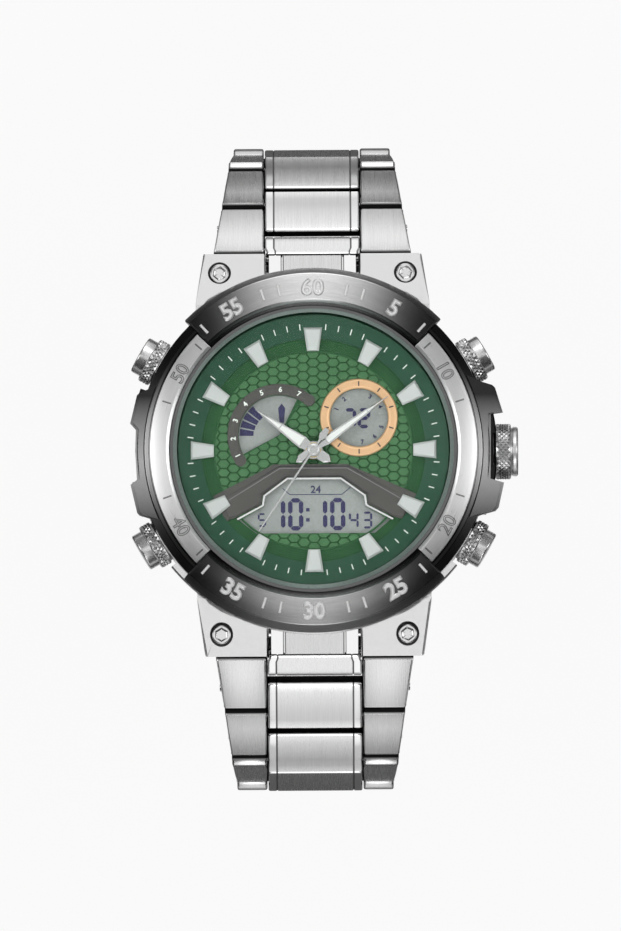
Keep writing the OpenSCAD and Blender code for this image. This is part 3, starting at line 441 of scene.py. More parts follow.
def ring_steel():
    """Brushed round the dial's axis, as on the bezel's silver arcs."""
    finish = Finish("inlay_steel", Metallic=1.0)
    rings = finish.group(rings_group, {"Vector": finish.place, "Rings per mm": 6.0})
    bend = finish.bent(rings, 19.0)
    grain = finish.group(grain_group, {"Vector": bend, "Fineness": 8.0, "Stretch": 0.05})
    finish.set("Roughness", finish.math("MULTIPLY_ADD", grain["Streaks"], 0.08, 0.27))
    finish.set("Base Color", finish.mix(grain["Streaks"], grey(0.9), grey(0.95)))
    finish.bump(grain["Height"], 0.05, 0.01 * mm)
    return finish.material


def dark_plating(name, dark, light, roughness, sharpness=1.0, lower=1.0):
    """Grey plating on turned steel: dark, with a painted sheen up to light. Sharpness narrows the
    painted sheen, and lower is its share on the 6 o'clock half, which is painted darker."""
    finish = Finish(name, Metallic=0.9)
    rings = finish.group(rings_group, {"Vector": finish.place, "Rings per mm": 6.0})
    bend = finish.bent(rings, 21.0)
    grain = finish.group(grain_group, {"Vector": bend, "Fineness": 7.0, "Stretch": 0.05})
    marks = finish.group(marks_group, {"Vector": finish.place, "Scale": 1.1})
    finish.set("Roughness", finish.math("MULTIPLY_ADD", marks["Cloud"], 0.08, roughness - 0.04))
    # Painted highlight: the sheen sets the colour, not the light.
    sheen = finish.group(sheen_group, {"Vector": finish.place})["Sheen"]
    share = finish.math("POWER", sheen, sharpness)
    north = finish.add("ShaderNodeSeparateXYZ", {0: finish.place}).outputs[1]
    upper = finish.math("GREATER_THAN", north, 0.0)
    share = finish.math("MULTIPLY", share, finish.blend(upper, lower, 1.0))
    streaked = finish.math("MULTIPLY", share, finish.math("MULTIPLY_ADD", grain["Streaks"], 0.16, 0.9))
    finish.set("Base Color", finish.mix(streaked, grey(dark), grey(light)))
    finish.bump(grain["Height"], 0.1, 0.01 * mm)
    return finish.material


def guard_coat():
    """The crown guards' plating, with a painted sheen: lighter in the middle of each block, and dark
    towards its ends.
    """
    finish = Finish("guard_plating", Metallic=0.9)
    marks = finish.group(marks_group, {"Vector": finish.place, "Scale": 1.1})
    finish.set("Roughness", finish.math("MULTIPLY_ADD", marks["Cloud"], 0.08, 0.2))
    north = finish.add("ShaderNodeSeparateXYZ", {0: finish.place}).outputs[1]
    off = finish.math("ABSOLUTE", finish.math("ADD", north, 1.4))
    share = finish.math("DIVIDE", off, 8.2, clamp=True)
    share = finish.math("POWER", share, 1.3)
    light = finish.mix(marks["Flecks"], grey(0.4), grey(0.48))
    finish.set("Base Color", finish.mix(share, light, grey(0.03)))
    finish.bump(marks["Flecks"], 0.1, 0.01 * mm)
    return finish.material


bracelet_steel = link_steel()
end_link_steel = lengthwise_steel("end_link_steel", 3.62)
clasp_steel = lengthwise_steel("clasp_steel", 8.3)
case_steel = case_finish()
screw_steel = satin_steel("polished_steel", 0.74, 0.14)
knurl_steel = satin_steel("knurl_steel", 0.7, 0.3)
button_steel = satin_steel("button_steel", 0.78, 0.26)
inlay_steel = ring_steel()
# Near-black steel for painted shade in slits, recesses and round the bezel numbers.
painted_shade_black = satin_steel("painted_shade_black", 0.02, 0.4)
bridge_plating = dark_plating("bridge_plating", 0.035, 0.8, 0.22, 1.1, 0.62)
base_plating = dark_plating("base_plating", 0.008, 0.5, 0.16, 2.6)
guard_plating = guard_coat()

# %% [markdown]
# ## Dial, glass and inner finishes
# The dial is lacquered green over a stamped pattern. The readouts are grey green glass over a plate,
# with dark ink segments. The crystal is clear glass that doesn't shade the dial.

# %% Dial and glass finishes


def lacquer(name, low, high, roughness, rings_per_mm=0.0, depth=0.02):
    """Coloured lacquer whose tone drifts between two greens, with turned grooves if asked."""
    finish = Finish(name, Metallic=0.0, Specular_IOR_Level=0.12)
    marks = finish.group(marks_group, {"Vector": finish.place, "Scale": 0.5})
    tone = finish.mix(marks["Cloud"], low, high)
    if rings_per_mm:
        rings = finish.group(rings_group, {"Vector": finish.place, "Rings per mm": rings_per_mm})
        tone = finish.mix(finish.math("MULTIPLY", rings["Wave"], 0.35), tone, low)
        finish.bump(rings["Wave"], 0.6, depth * mm)
    else:
        finish.bump(marks["Flecks"], 0.08, 0.01 * mm)
    finish.set("Base Color", tone)
    finish.set("Roughness", finish.math("MULTIPLY_ADD", marks["Flecks"], 0.06, roughness - 0.03))
    return finish.material


def cell_lacquer():
    """The honeycomb's lacquer, with painted shade: dark in the grooves and lighter on the cells' tops.
    The share comes from the height over the dial."""
    finish = Finish("cell_green", Metallic=0.0, Specular_IOR_Level=0.3)
    height = finish.add("ShaderNodeSeparateXYZ", {0: finish.place}).outputs[2]
    above = finish.math("SUBTRACT", height, dial_z / mm + 0.005)
    share = finish.math("MULTIPLY", above, 14.0, clamp=True)
    marks = finish.group(marks_group, {"Vector": finish.place, "Scale": 0.35})
    top = finish.mix(marks["Cloud"], (0.038, 0.12, 0.046, 1), (0.062, 0.17, 0.07, 1))
    finish.set("Base Color", finish.mix(share, (0.003, 0.018, 0.006, 1), top))
    finish.set("Roughness", finish.math("MULTIPLY_ADD", marks["Flecks"], 0.06, 0.3))
    finish.bump(marks["Flecks"], 0.06, 0.01 * mm)
    return finish.material


def speckled(name, low, high, roughness, metallic, scale=2.0, relief=0.02):
    """A grained coat or moulding: two tones in fine flecks, with a low relief."""
    finish = Finish(name, Metallic=metallic)
    marks = finish.group(marks_group, {"Vector": finish.place, "Scale": scale})
    finish.set("Base Color", finish.mix(marks["Flecks"], low, high))
    finish.set("Roughness", finish.math("MULTIPLY_ADD", marks["Cloud"], 0.12, roughness - 0.06))
    finish.bump(marks["Flecks"], 0.4, relief * mm)
    return finish.material


def clear_glass():
    """Clear glass with a coat that takes off most of its reflection, hence the low index. Its very
    light smear is the only change over the surface."""
    finish = Finish("crystal_glass", Transmission_Weight=1.0, IOR=1.1)
    marks = finish.group(marks_group, {"Vector": finish.place, "Scale": 0.3})
    finish.set("Roughness", finish.math("MULTIPLY", marks["Cloud"], 0.01))
    finish.set("Base Color", finish.mix(marks["Cloud"], (0.97, 1, 0.985, 1), (1, 1, 1, 1)))
    return finish.material


dial_base_green = lacquer("dial_green", (0.018, 0.068, 0.026, 1), (0.034, 0.11, 0.044, 1), 0.36, 4.0)
cell_green = cell_lacquer()
flange_green = lacquer("flange_green", (0.02, 0.066, 0.038, 1), (0.028, 0.084, 0.05, 1), 0.36)
ridge_green = lacquer("ridge_green", (0.024, 0.085, 0.035, 1), (0.04, 0.12, 0.05, 1), 0.3)
MARKER_TONES = (0.46, 0.49, 0.48, 1), (0.55, 0.57, 0.56, 1)
marker_silver = speckled("marker_silver", *MARKER_TONES, 0.38, 0.35, 3.0, 0.003)
# Painted shade: a darker copy of the batons' silver, for their sides.
marker_shade = speckled("marker_shade", grey(0.09), grey(0.14), 0.45, 0.3, 3.0, 0.003)
hand_steel = satin_steel("hand_steel", 0.5, 0.24)
# Painted shade: a darker copy of the hand steel, for one flank and the cap's rim and pit.
hand_shade = satin_steel("hand_shade", 0.1, 0.25)
lume = speckled("lume", (0.64, 0.65, 0.64, 1), (0.72, 0.73, 0.71, 1), 0.6, 0.0, 4.0, 0.004)
inlay_line = speckled("inlay_line", grey(0.05), grey(0.09), 0.4, 0.3, 4.0, 0.002)
WHITE_TONES = (0.72, 0.77, 0.72, 1), (0.82, 0.86, 0.82, 1)
BLACK_TONES = (0.012, 0.012, 0.018, 1), (0.03, 0.028, 0.035, 1)
READOUT_TONES = (0.245, 0.265, 0.255, 1), (0.285, 0.305, 0.295, 1)
print_white = speckled("white_print", *WHITE_TONES, 0.6, 0.0, 4.0, 0.002)
print_black = speckled("black_print", *BLACK_TONES, 0.6, 0.0, 4.0, 0.002)
lcd_glass = speckled("lcd_glass", *READOUT_TONES, 0.25, 0.0, 0.4, 0.001)
lcd_ink = speckled("lcd_ink", (0.012, 0.011, 0.06, 1), (0.02, 0.018, 0.085, 1), 0.45, 0.0, 2.0, 0.001)
smoke_highlight = speckled("smoke_highlight", grey(0.2), grey(0.3), 0.35, 0.6, 2.0, 0.01)
smoke_coat = speckled("smoke_coat", (0.05, 0.048, 0.045, 1), (0.11, 0.106, 0.1, 1), 0.55, 0.5, 2.6, 0.02)
gold_coat = speckled("rose_gold", (0.66, 0.4, 0.22, 1), (0.76, 0.5, 0.29, 1), 0.35, 0.75, 1.2, 0.004)
crystal_glass = clear_glass()
gasket_grey = speckled("gasket_grey", grey(0.12), grey(0.17), 0.4, 0.0)
bevel_reflection = speckled("bevel_reflection", (0.2, 0.27, 0.24, 1), (0.3, 0.37, 0.34, 1), 0.3, 0.2, 0.6, 0.001)
# Real black rubber, and also the painted shade in the gaps round the lug screws.
rubber_and_gap_shade = speckled("rubber_and_gap_shade", grey(0.02), grey(0.035), 0.7, 0.0)
holder_plastic = speckled("holder_plastic", (0.66, 0.64, 0.6, 1), (0.74, 0.73, 0.68, 1), 0.5, 0.0)
# Also the lug screws' socket floors, as painted shade.
movement_metal_and_shade = speckled("movement_metal_and_shade", grey(0.36), grey(0.46), 0.35, 0.9)
brass_metal = speckled("brass_metal", (0.6, 0.42, 0.14, 1), (0.72, 0.52, 0.2, 1), 0.3, 1.0)
board_green = speckled("board_green", (0.02, 0.12, 0.04, 1), (0.04, 0.18, 0.07, 1), 0.4, 0.0)
copper_wire = speckled("copper_wire", (0.5, 0.2, 0.08, 1), (0.62, 0.28, 0.12, 1), 0.35, 1.0)
print(len(bpy.data.materials), "materials")

# %% [markdown]
# ## Finishes for the CAD nodes
# Every node that stays visible, or that is only seen when the watch is opened, takes a finish that
# fits its slot in the record. The nodes that get a finer piece below are hidden there.

# %% Dress the CAD nodes
SLOT_FINISH = {
    "steel": case_steel,
    "polished_steel": screw_steel,
    "inlay_steel": inlay_steel,
    "gunmetal": guard_plating,
    "crystal": crystal_glass,
    "crystal_gasket": gasket_grey,
    "rubber": rubber_and_gap_shade,
    "dial_green": dial_base_green,
    "markers": hand_steel,
    "smoke": smoke_coat,
    "rose_gold": gold_coat,
    "lcd_glass": lcd_glass,
    "holder": holder_plastic,
    "movement": movement_metal_and_shade,
    "brass": brass_metal,
    "board": board_green,
    "copper": copper_wire,
}
NODE_FINISH = {
    "rehaut": flange_green,
    "bezel_base": base_plating,
    "clasp_inner_blade": clasp_steel,
    "clasp_middle_blade": clasp_steel,
    "clasp_cover": clasp_steel,
    "end_links": end_link_steel,
}
slot_of = {part["node"]: part["material_slot"] for part in frame["record"]["subparts"]}


def dress(obj, material):
    """Gives the whole object one material."""
    obj.data.materials.clear()
    obj.data.materials.append(material)


for name, obj in nodes.items():
    dress(obj, NODE_FINISH.get(name, SLOT_FINISH[slot_of[name]]))
nodes["crystal"].visible_shadow = False
print("dressed", len(nodes), "nodes")

# %% [markdown]
# ## Surfaces from arrays
# New pieces are sheets of points: a grid whose rows and columns follow two parameters. `quads` turns
# a grid into faces, `Skin` collects several grids and makes one mesh from them, welds the seams and
# turns the faces outwards. A UV map named along holds millimetres, for the brushed grain.

# %% Mesh tools


def quads(rows, columns, first=0):
    """Corner numbers of all cells of a grid of rows x columns points."""
    corner = np.arange(rows * columns).reshape(rows, columns)[:-1, :-1].ravel() + first
    return np.stack([corner, corner + 1, corner + columns + 1, corner + columns], axis=1)


class Skin:
    """Points, faces, UVs and masks of one piece, gathered from several sheets."""

    def __init__(self):
        self.points = []
        self.faces = []
        self.uvs = []
        self.masks = []
        self.gaps = []
        self.slots = []
        self.count = 0

    def sheet(self, grid, uv=None, mask=None, caps=False, slot=0, gap=None):
        """Adds a grid of points (rows, columns, 3). Caps close its first and last rows."""
        rows, columns = grid.shape[:2]
        faces = quads(rows, columns, self.count).tolist()
        if caps:
            last = self.count + (rows - 1) * columns
            faces.append(list(range(self.count, self.count + columns - 1))[::-1])
            faces.append(list(range(last, last + columns - 1)))
        self.add(grid.reshape(-1, 3), faces, uv, mask, slot, gap)

    def add(self, points, faces, uv=None, mask=None, slot=0, gap=None):
        """Adds loose points and faces that already count from this skin's own total."""
        size = len(points)
        self.points.append(points)
        self.faces += faces
        self.slots += [slot] * len(faces)
        self.uvs.append(np.zeros((size, 2)) if uv is None else np.reshape(uv, (size, 2)))
        for store, values in ((self.masks, mask), (self.gaps, gap)):
            filled = np.zeros(size)
            filled[:] = 0 if values is None else np.ravel(values)
            store.append(filled)
        self.count += size

    def blocks(self, points, pattern, slot=0):
        """Adds many copies of one block: points (copies, n, 3), and the faces of one of them."""
        copies, size = points.shape[:2]
        start = self.count + size * np.arange(copies)
        faces = [[int(s) + i for i in face] for s in start for face in pattern]
        self.add(points.reshape(-1, 3), faces, slot=slot)


def side_faces(n, rings=2):
    """Faces between stacked closed rings of n corners: each edge is joined to the one above it."""
    return [
        (a + n * k, (a + 1) % n + n * k, (a + 1) % n + n * k + n, a + n * k + n)
        for k in range(rings - 1)
        for a in range(n)
    ]


def plate(outline, low, high):
    """Points and faces of a flat plate: an anticlockwise outline at two levels, with both lids."""
    n = len(outline)
    points = np.concatenate([np.column_stack([outline, np.full(n, z)]) for z in (low, high)])
    return points, side_faces(n) + [tuple(range(n))[::-1], tuple(range(n, 2 * n))]


def prism(skin, outline, low, high, slot=0):
    """Adds a flat plate to a skin, all in mm."""
    points, faces = plate(outline, low, high)
    skin.blocks(points[None] * mm, faces, slot)


def make_piece(name, skin, body, materials, replaces=(), smooth=35):
    """Makes the object: fills the mesh, welds seams, turns faces outwards and hands it to the frame."""
    mesh = bpy.data.meshes.new(name)
    points = np.concatenate(skin.points)
    mesh.from_pydata(points.tolist(), [], skin.faces)
    corner = np.zeros(len(mesh.loops), np.int32)
    mesh.loops.foreach_get("vertex_index", corner)
    layer = mesh.uv_layers.new(name="along")
    layer.data.foreach_set("uv", np.concatenate(skin.uvs)[corner].astype(np.float32).ravel())
    # The gap attribute carries painted shade for the bracelet steel.
    for label, values in (("polish", skin.masks), ("gap", skin.gaps)):
        layer = mesh.attributes.new(label, "FLOAT", "POINT")
        layer.data.foreach_set("value", np.concatenate(values).astype(np.float32))
    mesh.polygons.foreach_set("material_index", np.array(skin.slots, np.int32))
    work = bmesh.new()
    work.from_mesh(mesh)
    bmesh.ops.remove_doubles(work, verts=work.verts, dist=1e-7)
    bmesh.ops.dissolve_degenerate(work, edges=work.edges, dist=1e-8)
    bmesh.ops.recalc_face_normals(work, faces=work.faces)
    work.to_mesh(mesh)
    work.free()
    return place_piece(name, mesh, body, materials, replaces, smooth)


def place_piece(name, mesh, body, materials, replaces=(), smooth=35):
    """Puts a finished mesh into the scene, riding on a body, with its materials."""
    if smooth:
        mesh.shade_smooth()
        mesh.set_sharp_from_angle(angle=math.radians(smooth))
    mesh.materials.clear()
    for material in materials if isinstance(materials, (list, tuple)) else [materials]:
        mesh.materials.append(material)
    obj = bpy.data.objects.new(name, mesh)
    bpy.context.scene.collection.objects.link(obj)
    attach(obj, body)
    if replaces:
        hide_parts(*replaces)
    return obj


# %% [markdown]
# ## Outlines
# An outline is a closed row of points. `rounded` gives each corner of a polygon an arc, and
# `bar_rings` moves every point of an outline inwards by the same distance, station by station, which
# rounds the ends of a bar. `revolved` is for turned parts.

# %% Outline tools


def rounded(corners, radii, steps=4):
    """A closed outline whose corners are arcs. At each corner the arc starts and ends at the
    distance r * tan(turn / 2) from it, where turn is the change of direction there."""
    p = np.array(corners, float)
    r = np.broadcast_to(np.array(radii, float), (len(p),))
    before, after = np.roll(p, 1, axis=0) - p, np.roll(p, -1, axis=0) - p
    before /= np.linalg.norm(before, axis=1)[:, None]
    after /= np.linalg.norm(after, axis=1)[:, None]
    half = np.arccos(np.clip((before * after).sum(1), -1, 1)) / 2
    half = np.maximum(half, 1e-3)
    middle = before + after
    size = np.maximum(np.linalg.norm(middle, axis=1), 1e-9)[:, None]
    centre = p + middle / size * (r / np.sin(half))[:, None]
    start = p + before * (r / np.tan(half))[:, None] - centre
    end = p + after * (r / np.tan(half))[:, None] - centre
    t = np.linspace(0, 1, steps + 1)[None, :, None]
    sweep = (math.pi - 2 * half)[:, None, None]
    safe = np.maximum(np.sin(sweep), 1e-6)
    arc = (np.sin((1 - t) * sweep) * start[:, None] + np.sin(t * sweep) * end[:, None]) / safe
    return (centre[:, None] + arc).reshape(-1, 2)


def closed(outline):
    """The outline with its first point repeated at its end."""
    return np.concatenate([outline, outline[:1]])


def outward(outline):
    """Unit normals of an anticlockwise outline: the mean of the two edges beside each point."""
    ahead = np.roll(outline, -1, axis=0) - outline
    edge = np.stack([ahead[:, 1], -ahead[:, 0]], axis=1)
    edge /= np.maximum(np.linalg.norm(edge, axis=1), 1e-9)[:, None]
    normal = edge + np.roll(edge, 1, axis=0)
    return normal / np.maximum(np.linalg.norm(normal, axis=1), 1e-9)[:, None]


def arc_length(outline):
    """Distance along an outline from its first point."""
    step = np.linalg.norm(np.diff(outline, axis=0), axis=1)
    return np.concatenate([[0], np.cumsum(step)])


def round_ends(x0, x1, edge, steps=4, between=()):
    """Stations from x0 to x1 and the inset at each: quarter circles at both ends, 0 between."""
    turn = np.linspace(0, math.pi / 2, steps + 1)
    dx, inset = edge * (1 - np.cos(turn)), edge * (1 - np.sin(turn))
    middle = np.array(between, float).reshape(-1, 2)
    x = np.concatenate([x0 + dx, middle[:, 0], (x1 - dx)[::-1]])
    d = np.concatenate([inset, middle[:, 1], inset[::-1]])
    return x, d


def bar_rings(outline, insets):
    """Rings (stations, points, 2): the closed outline moved inwards by each inset."""
    line = closed(outline)
    normal = closed(outward(outline))
    return line[None] - np.asarray(insets)[:, None, None] * normal[None]


def revolved(profile, steps):
    """A profile of (radius, height) carried round the dial's axis, in mm."""
    p = np.array(profile, float)
    turn = np.linspace(0, TAU, steps + 1)
    x, y = p[:, :1] * np.cos(turn), p[:, :1] * np.sin(turn)
    return np.stack(np.broadcast_arrays(x, y, p[:, 1:]), axis=-1)


# %% [markdown]
# ## Bracelet links
# A row has two outer links and a centre link on a common pin. Each is a bar: its side outline is
# carried across the bracelet and drawn in at both ends, so that every edge is round. The outer
# links' outside faces follow the bracelet's taper. The centre link has a groove on each side, which
# parts its brushed middle from its polished bands.

# %% Bracelet values
# SHADE is painted shade: it darkens each row's faces towards their far end, in place of the darker
# reflection there. NOSE_DROP is how far below the face the painted dark of its round end starts.
# The rows at the bracelet's turn show more of that end.
PITCH = 8.0
LINK_T = 2.8
NOSE_R = 1.85
CENTRE_W = 5.92
SIDE_X = 6.05
WIDE_W = 24.4
NARROW_W = 18.0
ROWS = 7
PIN_R = 0.5
FIRST_PIN = np.array([25.83, 0.55])
LINK_DEG = [-40, -51, -76, -104, -130, -151, -168]
CENTRE_STEP = NOSE_R + 0.65
HOLLOW_R = NOSE_R + 0.2
BAND_EDGE = CENTRE_W - 1.1
GROOVE_DEPTH = 0.1
GROOVE_STEPS = ((-0.11, 0), (-0.04, GROOVE_DEPTH), (0.04, GROOVE_DEPTH), (0.11, 0))
GROOVES = [(BAND_EDGE * s + d, depth) for s in (-1, 1) for d, depth in GROOVE_STEPS]
CROWN = 0.15
SHADE = [0.3, 0.25, 0.1, 0, 0, 0, 0]
NOSE_DROP = [0.04, 0.04, 0.5, 3, 3, 3, 3]


def row_width(i):
    """The bracelet's width at row i: it narrows fast near the case."""
    return NARROW_W + (WIDE_W - NARROW_W) * (1 - i / ROWS) ** 2.5


def pin_places():
    """Hinge pins (y, z) of the 12 o'clock half: each is one pitch on from the one before."""
    angle = np.radians(LINK_DEG)
    step = PITCH * np.stack([np.cos(angle), np.sin(angle)], axis=1)
    return np.concatenate([FIRST_PIN[None], FIRST_PIN + np.cumsum(step, axis=0)])


PINS = pin_places()
print(f"bracelet rows: {ROWS}, widths {row_width(0):.1f} to {row_width(ROWS):.1f} mm")

# %% Link outlines


def nose(u, side):
    """The round end about a pin at u: an arc of NOSE_R cut by the link's two faces."""
    reach = math.asin(LINK_T / 2 / NOSE_R)
    angle = np.linspace(-reach, reach, 11) * side
    return np.stack([u + side * NOSE_R * np.cos(angle), NOSE_R * np.sin(angle)], axis=1)


def crowned(u0, u1, steps=7):
    """The upper face from u1 back to u0: it falls off by CROWN at both ends, as a parabola."""
    u = np.linspace(u1, u0, steps)
    share = (2 * u - u0 - u1) / (u1 - u0)
    return np.stack([u, LINK_T / 2 - CROWN * share**2], axis=1)


def far_end(u, side, radius=0.34):
    """The square end at u: two arcs joined by a flat."""
    angle = np.linspace(0, math.pi / 2, 5)
    top = np.stack([np.cos(angle), np.sin(angle)], axis=1) * radius
    top += [-radius, LINK_T / 2 - CROWN - radius]
    low = top[::-1] * [1, -1]
    both = np.concatenate([low, top])
    return both * [side, side] + [u, 0]


def hollow_end(u):
    """The far end of an outer link, hollow about the next pin at u, so that its round nose turns in
    it. The arc is 0.2 larger than the nose, and its two corners are eased."""
    reach = math.asin((LINK_T / 2 - CROWN - 0.1) / HOLLOW_R)
    angle = np.linspace(-reach, reach, 11)
    arc = np.stack([u - HOLLOW_R * np.cos(angle), HOLLOW_R * np.sin(angle)], axis=1)
    eased = [[arc[-1, 0] - 0.07, LINK_T / 2 - CROWN - 0.02]]
    return np.concatenate([np.multiply(eased, [1, -1]), arc, eased])


def outer_outline(i):
    """Side outline of row i's outer link, anticlockwise from its far lower corner, and its mask of
    painted shade. The hollow end is painted black in the first two rows, and the round end is never
    quite clear of painted shade after them. In the first three rows the face is painted darker towards
    its far end."""
    start = -math.sqrt(NOSE_R**2 - (LINK_T / 2) ** 2)
    hollow = hollow_end(PITCH)
    top = crowned(start + 0.15, hollow[-1, 0] - 0.25)[:-1]
    round_end = nose(0, -1)
    shade = SHADE[i] * np.clip(top[:, 0] / PITCH, 0, 1) ** 1.5
    hollow_end_shade = (hollow[:, 1] < LINK_T / 2 - CROWN - 0.12) * float(i < 2)
    nose_shade = np.maximum(round_gap(round_end, NOSE_DROP[i]), 0.3 * (i > 1))
    gap = np.concatenate([np.maximum(hollow_end_shade, SHADE[i]), shade, nose_shade])
    return np.concatenate([hollow, top, round_end]), gap


def round_gap(end, drop=0.04):
    """Painted shade of a round end: 1 except near its top, where it rolls into the face."""
    return np.clip((LINK_T / 2 - drop - end[:, 1]) / 0.16, 0, 1)


def centre_outline(i):
    """Side outline of row i's centre link, square at its start and round about the next pin, and its
    mask of painted shade: dark on both ends, and in the first rows darker towards its far end."""
    end = PITCH + math.sqrt(NOSE_R**2 - (LINK_T / 2) ** 2)
    square_end = far_end(CENTRE_STEP, -1)
    top = crowned(CENTRE_STEP + 0.34, end - 0.15)[1:-1]
    round_end = nose(PITCH, 1)
    square_end_shade = np.clip((LINK_T / 2 - CROWN - 0.16 - square_end[:, 1]) / 0.1, 0, 1)
    shade = 0.8 * SHADE[i] * np.clip(top[:, 0] / PITCH, 0, 1) ** 1.5
    gap = np.concatenate([round_gap(round_end, 0.12), shade, square_end_shade])
    return np.concatenate([round_end, top, square_end]), gap


def polish_mask(rings, insets):
    """1 where a ring is drawn in, or where the outline turns away from the flat faces."""
    line = rings[len(insets) // 2][:-1]
    turned = np.abs(outward(line)[:, 1]) < 0.93
    mask = np.maximum(closed(turned.astype(float)[:, None])[None, :, 0], (insets > 0.02)[:, None])
    return mask.astype(float)


def centre_masks(rings, x, inset, crevice):
    """Polish mask and painted-shade mask of a centre bar: polished bands, and painted shade in the
    grooves, on the sides and on the ends.
    """
    # Painted shade: the grooves and the sides that face the outer links are painted dark.
    in_groove = (np.abs(inset - GROOVE_DEPTH) < 1e-6) * 0.75
    at_side = np.maximum(in_groove, np.abs(x) > CENTRE_W - 0.04)[:, None]
    polish = np.maximum(polish_mask(rings, inset), (np.abs(x) > BAND_EDGE - 0.01)[:, None])
    return polish, np.maximum(closed(crevice)[None], at_side)


def outer_link(skin, i, side, place):
    """One outer link of row i: stations across it, scaled so that its outside follows the taper."""
    w0, w1 = row_width(i) / 2, row_width(i + 1) / 2
    x, inset = round_ends(SIDE_X, w0, 0.28)
    outline, crevice = outer_outline(i)
    rings = bar_rings(outline, inset)
    # Painted shade: the ends, and the side that faces the centre link, are painted dark.
    gap = np.maximum(closed(crevice)[None], (x < SIDE_X + 0.04)[:, None])
    u, w = rings[..., 0], rings[..., 1]
    reach = w0 - (w0 - w1) * np.clip(u / PITCH, -0.25, 1)
    across = SIDE_X + (x[:, None] - SIDE_X) * (reach - SIDE_X) / (w0 - SIDE_X)
    along = arc_length(rings[len(x) // 2])
    uv = np.stack(np.broadcast_arrays(across + 40 * side + 7 * i, along[None]), axis=-1)
    skin.sheet(place(side * across, u, w), uv, polish_mask(rings, inset), caps=True, gap=gap)


def centre_link(skin, i, place):
    """The centre link: two grooves part its brushed middle from its polished bands."""
    x, inset = round_ends(-CENTRE_W, CENTRE_W, 0.24, between=GROOVES)
    outline, crevice = centre_outline(i)
    rings = bar_rings(outline, inset)
    mask, gap = centre_masks(rings, x, inset, crevice)
    along = arc_length(rings[len(x) // 2])
    uv = np.stack(np.broadcast_arrays(x[:, None] + 7 * i, along[None]), axis=-1)
    across = np.broadcast_to(x[:, None], rings.shape[:2])
    skin.sheet(place(across, rings[..., 0], rings[..., 1]), uv, mask, caps=True, gap=gap)


def inner_walls(skin, place):
    """A thin sheet on each side, painted dark as painted shade, fills the slit between a centre link and
    its outer links.
    """
    outline = np.array([(0.3, -1.15), (7.5, -1.15), (7.5, 0.55), (0.3, 0.55)])
    for side in (-1, 1):
        rings = bar_rings(outline, np.zeros(2))
        across = np.broadcast_to(np.array([[CENTRE_W + 0.02], [SIDE_X - 0.02]]), rings.shape[:2])
        skin.sheet(place(side * across, rings[..., 0], rings[..., 1]), caps=True, gap=1.0)


def pin_ends(skin, u, width, place):
    """A pin with domed ends: circles across the bracelet, drawn in at both ends."""
    angle = np.linspace(0, TAU, 21)[:-1]
    outline = np.stack([u + PIN_R * np.cos(angle), PIN_R * np.sin(angle)], axis=1)
    x, inset = round_ends(-width / 2, width / 2, 0.12, steps=2)
    rings = bar_rings(outline, inset)
    across = np.broadcast_to(x[:, None], rings.shape[:2])
    skin.sheet(place(across, rings[..., 0], rings[..., 1]), mask=1.0, caps=True)


# %% Make the bracelet
KNUCKLE_R = 1.42
KNUCKLE_BACK = -2.12


def link_place(i, half):
    """Puts (across, u, w) of row i in the closed bracelet: turned about X and moved to its pin."""
    angle = math.radians(LINK_DEG[i])
    pin = PINS[i]

    def place(x, u, w):
        y = pin[0] + u * math.cos(angle) - w * math.sin(angle)
        z = pin[1] + u * math.sin(angle) + w * math.cos(angle)
        return np.stack(np.broadcast_arrays(x, y * half, z), axis=-1) * mm

    return place


def make_row(i, hour, half):
    """Row i on one half of the bracelet. Half is 1 at 12 o'clock, and -1 mirrors it to 6."""
    skin = Skin()
    place = link_place(i, half)
    for side in (-1, 1):
        outer_link(skin, i, side, place)
    centre_link(skin, i, place)
    inner_walls(skin, place)
    pin_ends(skin, 0, row_width(i) - 0.1, place)
    pin_ends(skin, PITCH / 2 - 0.1, row_width(i) - 0.5, place)
    node = f"link_{hour}_{i + 1}"
    return make_piece(node + "_finished", skin, node, bracelet_steel, [node])


def make_slit_floors():
    """Four near-black plates below the slits between the end links' tongues and the lugs: painted shade.
    """
    skin = Skin()
    for sx in (-1, 1):
        for sy in (-1, 1):
            x0, x1 = sorted((5.47 * sx, 5.74 * sx))
            y0, y1 = sorted((20.4 * sy, 23.9 * sy))
            prism(skin, np.array([(x0, y0), (x1, y0), (x1, y1), (x0, y1)]), 0.5, 1.4)
    return make_piece("slit_shade_plates", skin, "case", painted_shade_black, smooth=0)


def knuckle_outline():
    """Side outline of a knuckle and its mask of painted shade: the round end about the first pin, an
    upper arc that meets it at 28 degrees and ends level, a flat top, and the back down to the tongue."""
    meet = math.radians(28)
    angle = np.linspace(math.radians(-49), meet, 9)
    round_end = np.stack([NOSE_R * np.cos(angle), NOSE_R * np.sin(angle)], axis=1)
    turn = np.radians(np.linspace(28, 90, 6))[1:]
    swing = np.stack([np.cos(turn) - math.cos(meet), np.sin(turn) - math.sin(meet)], axis=1)
    corner = round_end[-1] + KNUCKLE_R * swing
    end, top = corner[-1]
    near = KNUCKLE_BACK
    flat = np.column_stack([np.linspace(end, near, 6)[1:-1], np.full(4, top)])
    back = [(near + 0.16, top), (near + 0.05, top - 0.05), (near, top - 0.16), (near, 0.9)]
    outline = np.concatenate([round_end, corner, flat, back, [(-1.0, 0.6), (-1.0, -1.3)]])
    crevice = np.clip((top - 0.3 - outline[:, 1]) / 0.16, 0, 1)
    # Painted shade: the back down to the tongue is painted dark.
    crevice[-5:] = (0.3, 1, 1, 1, 1)
    return outline, crevice


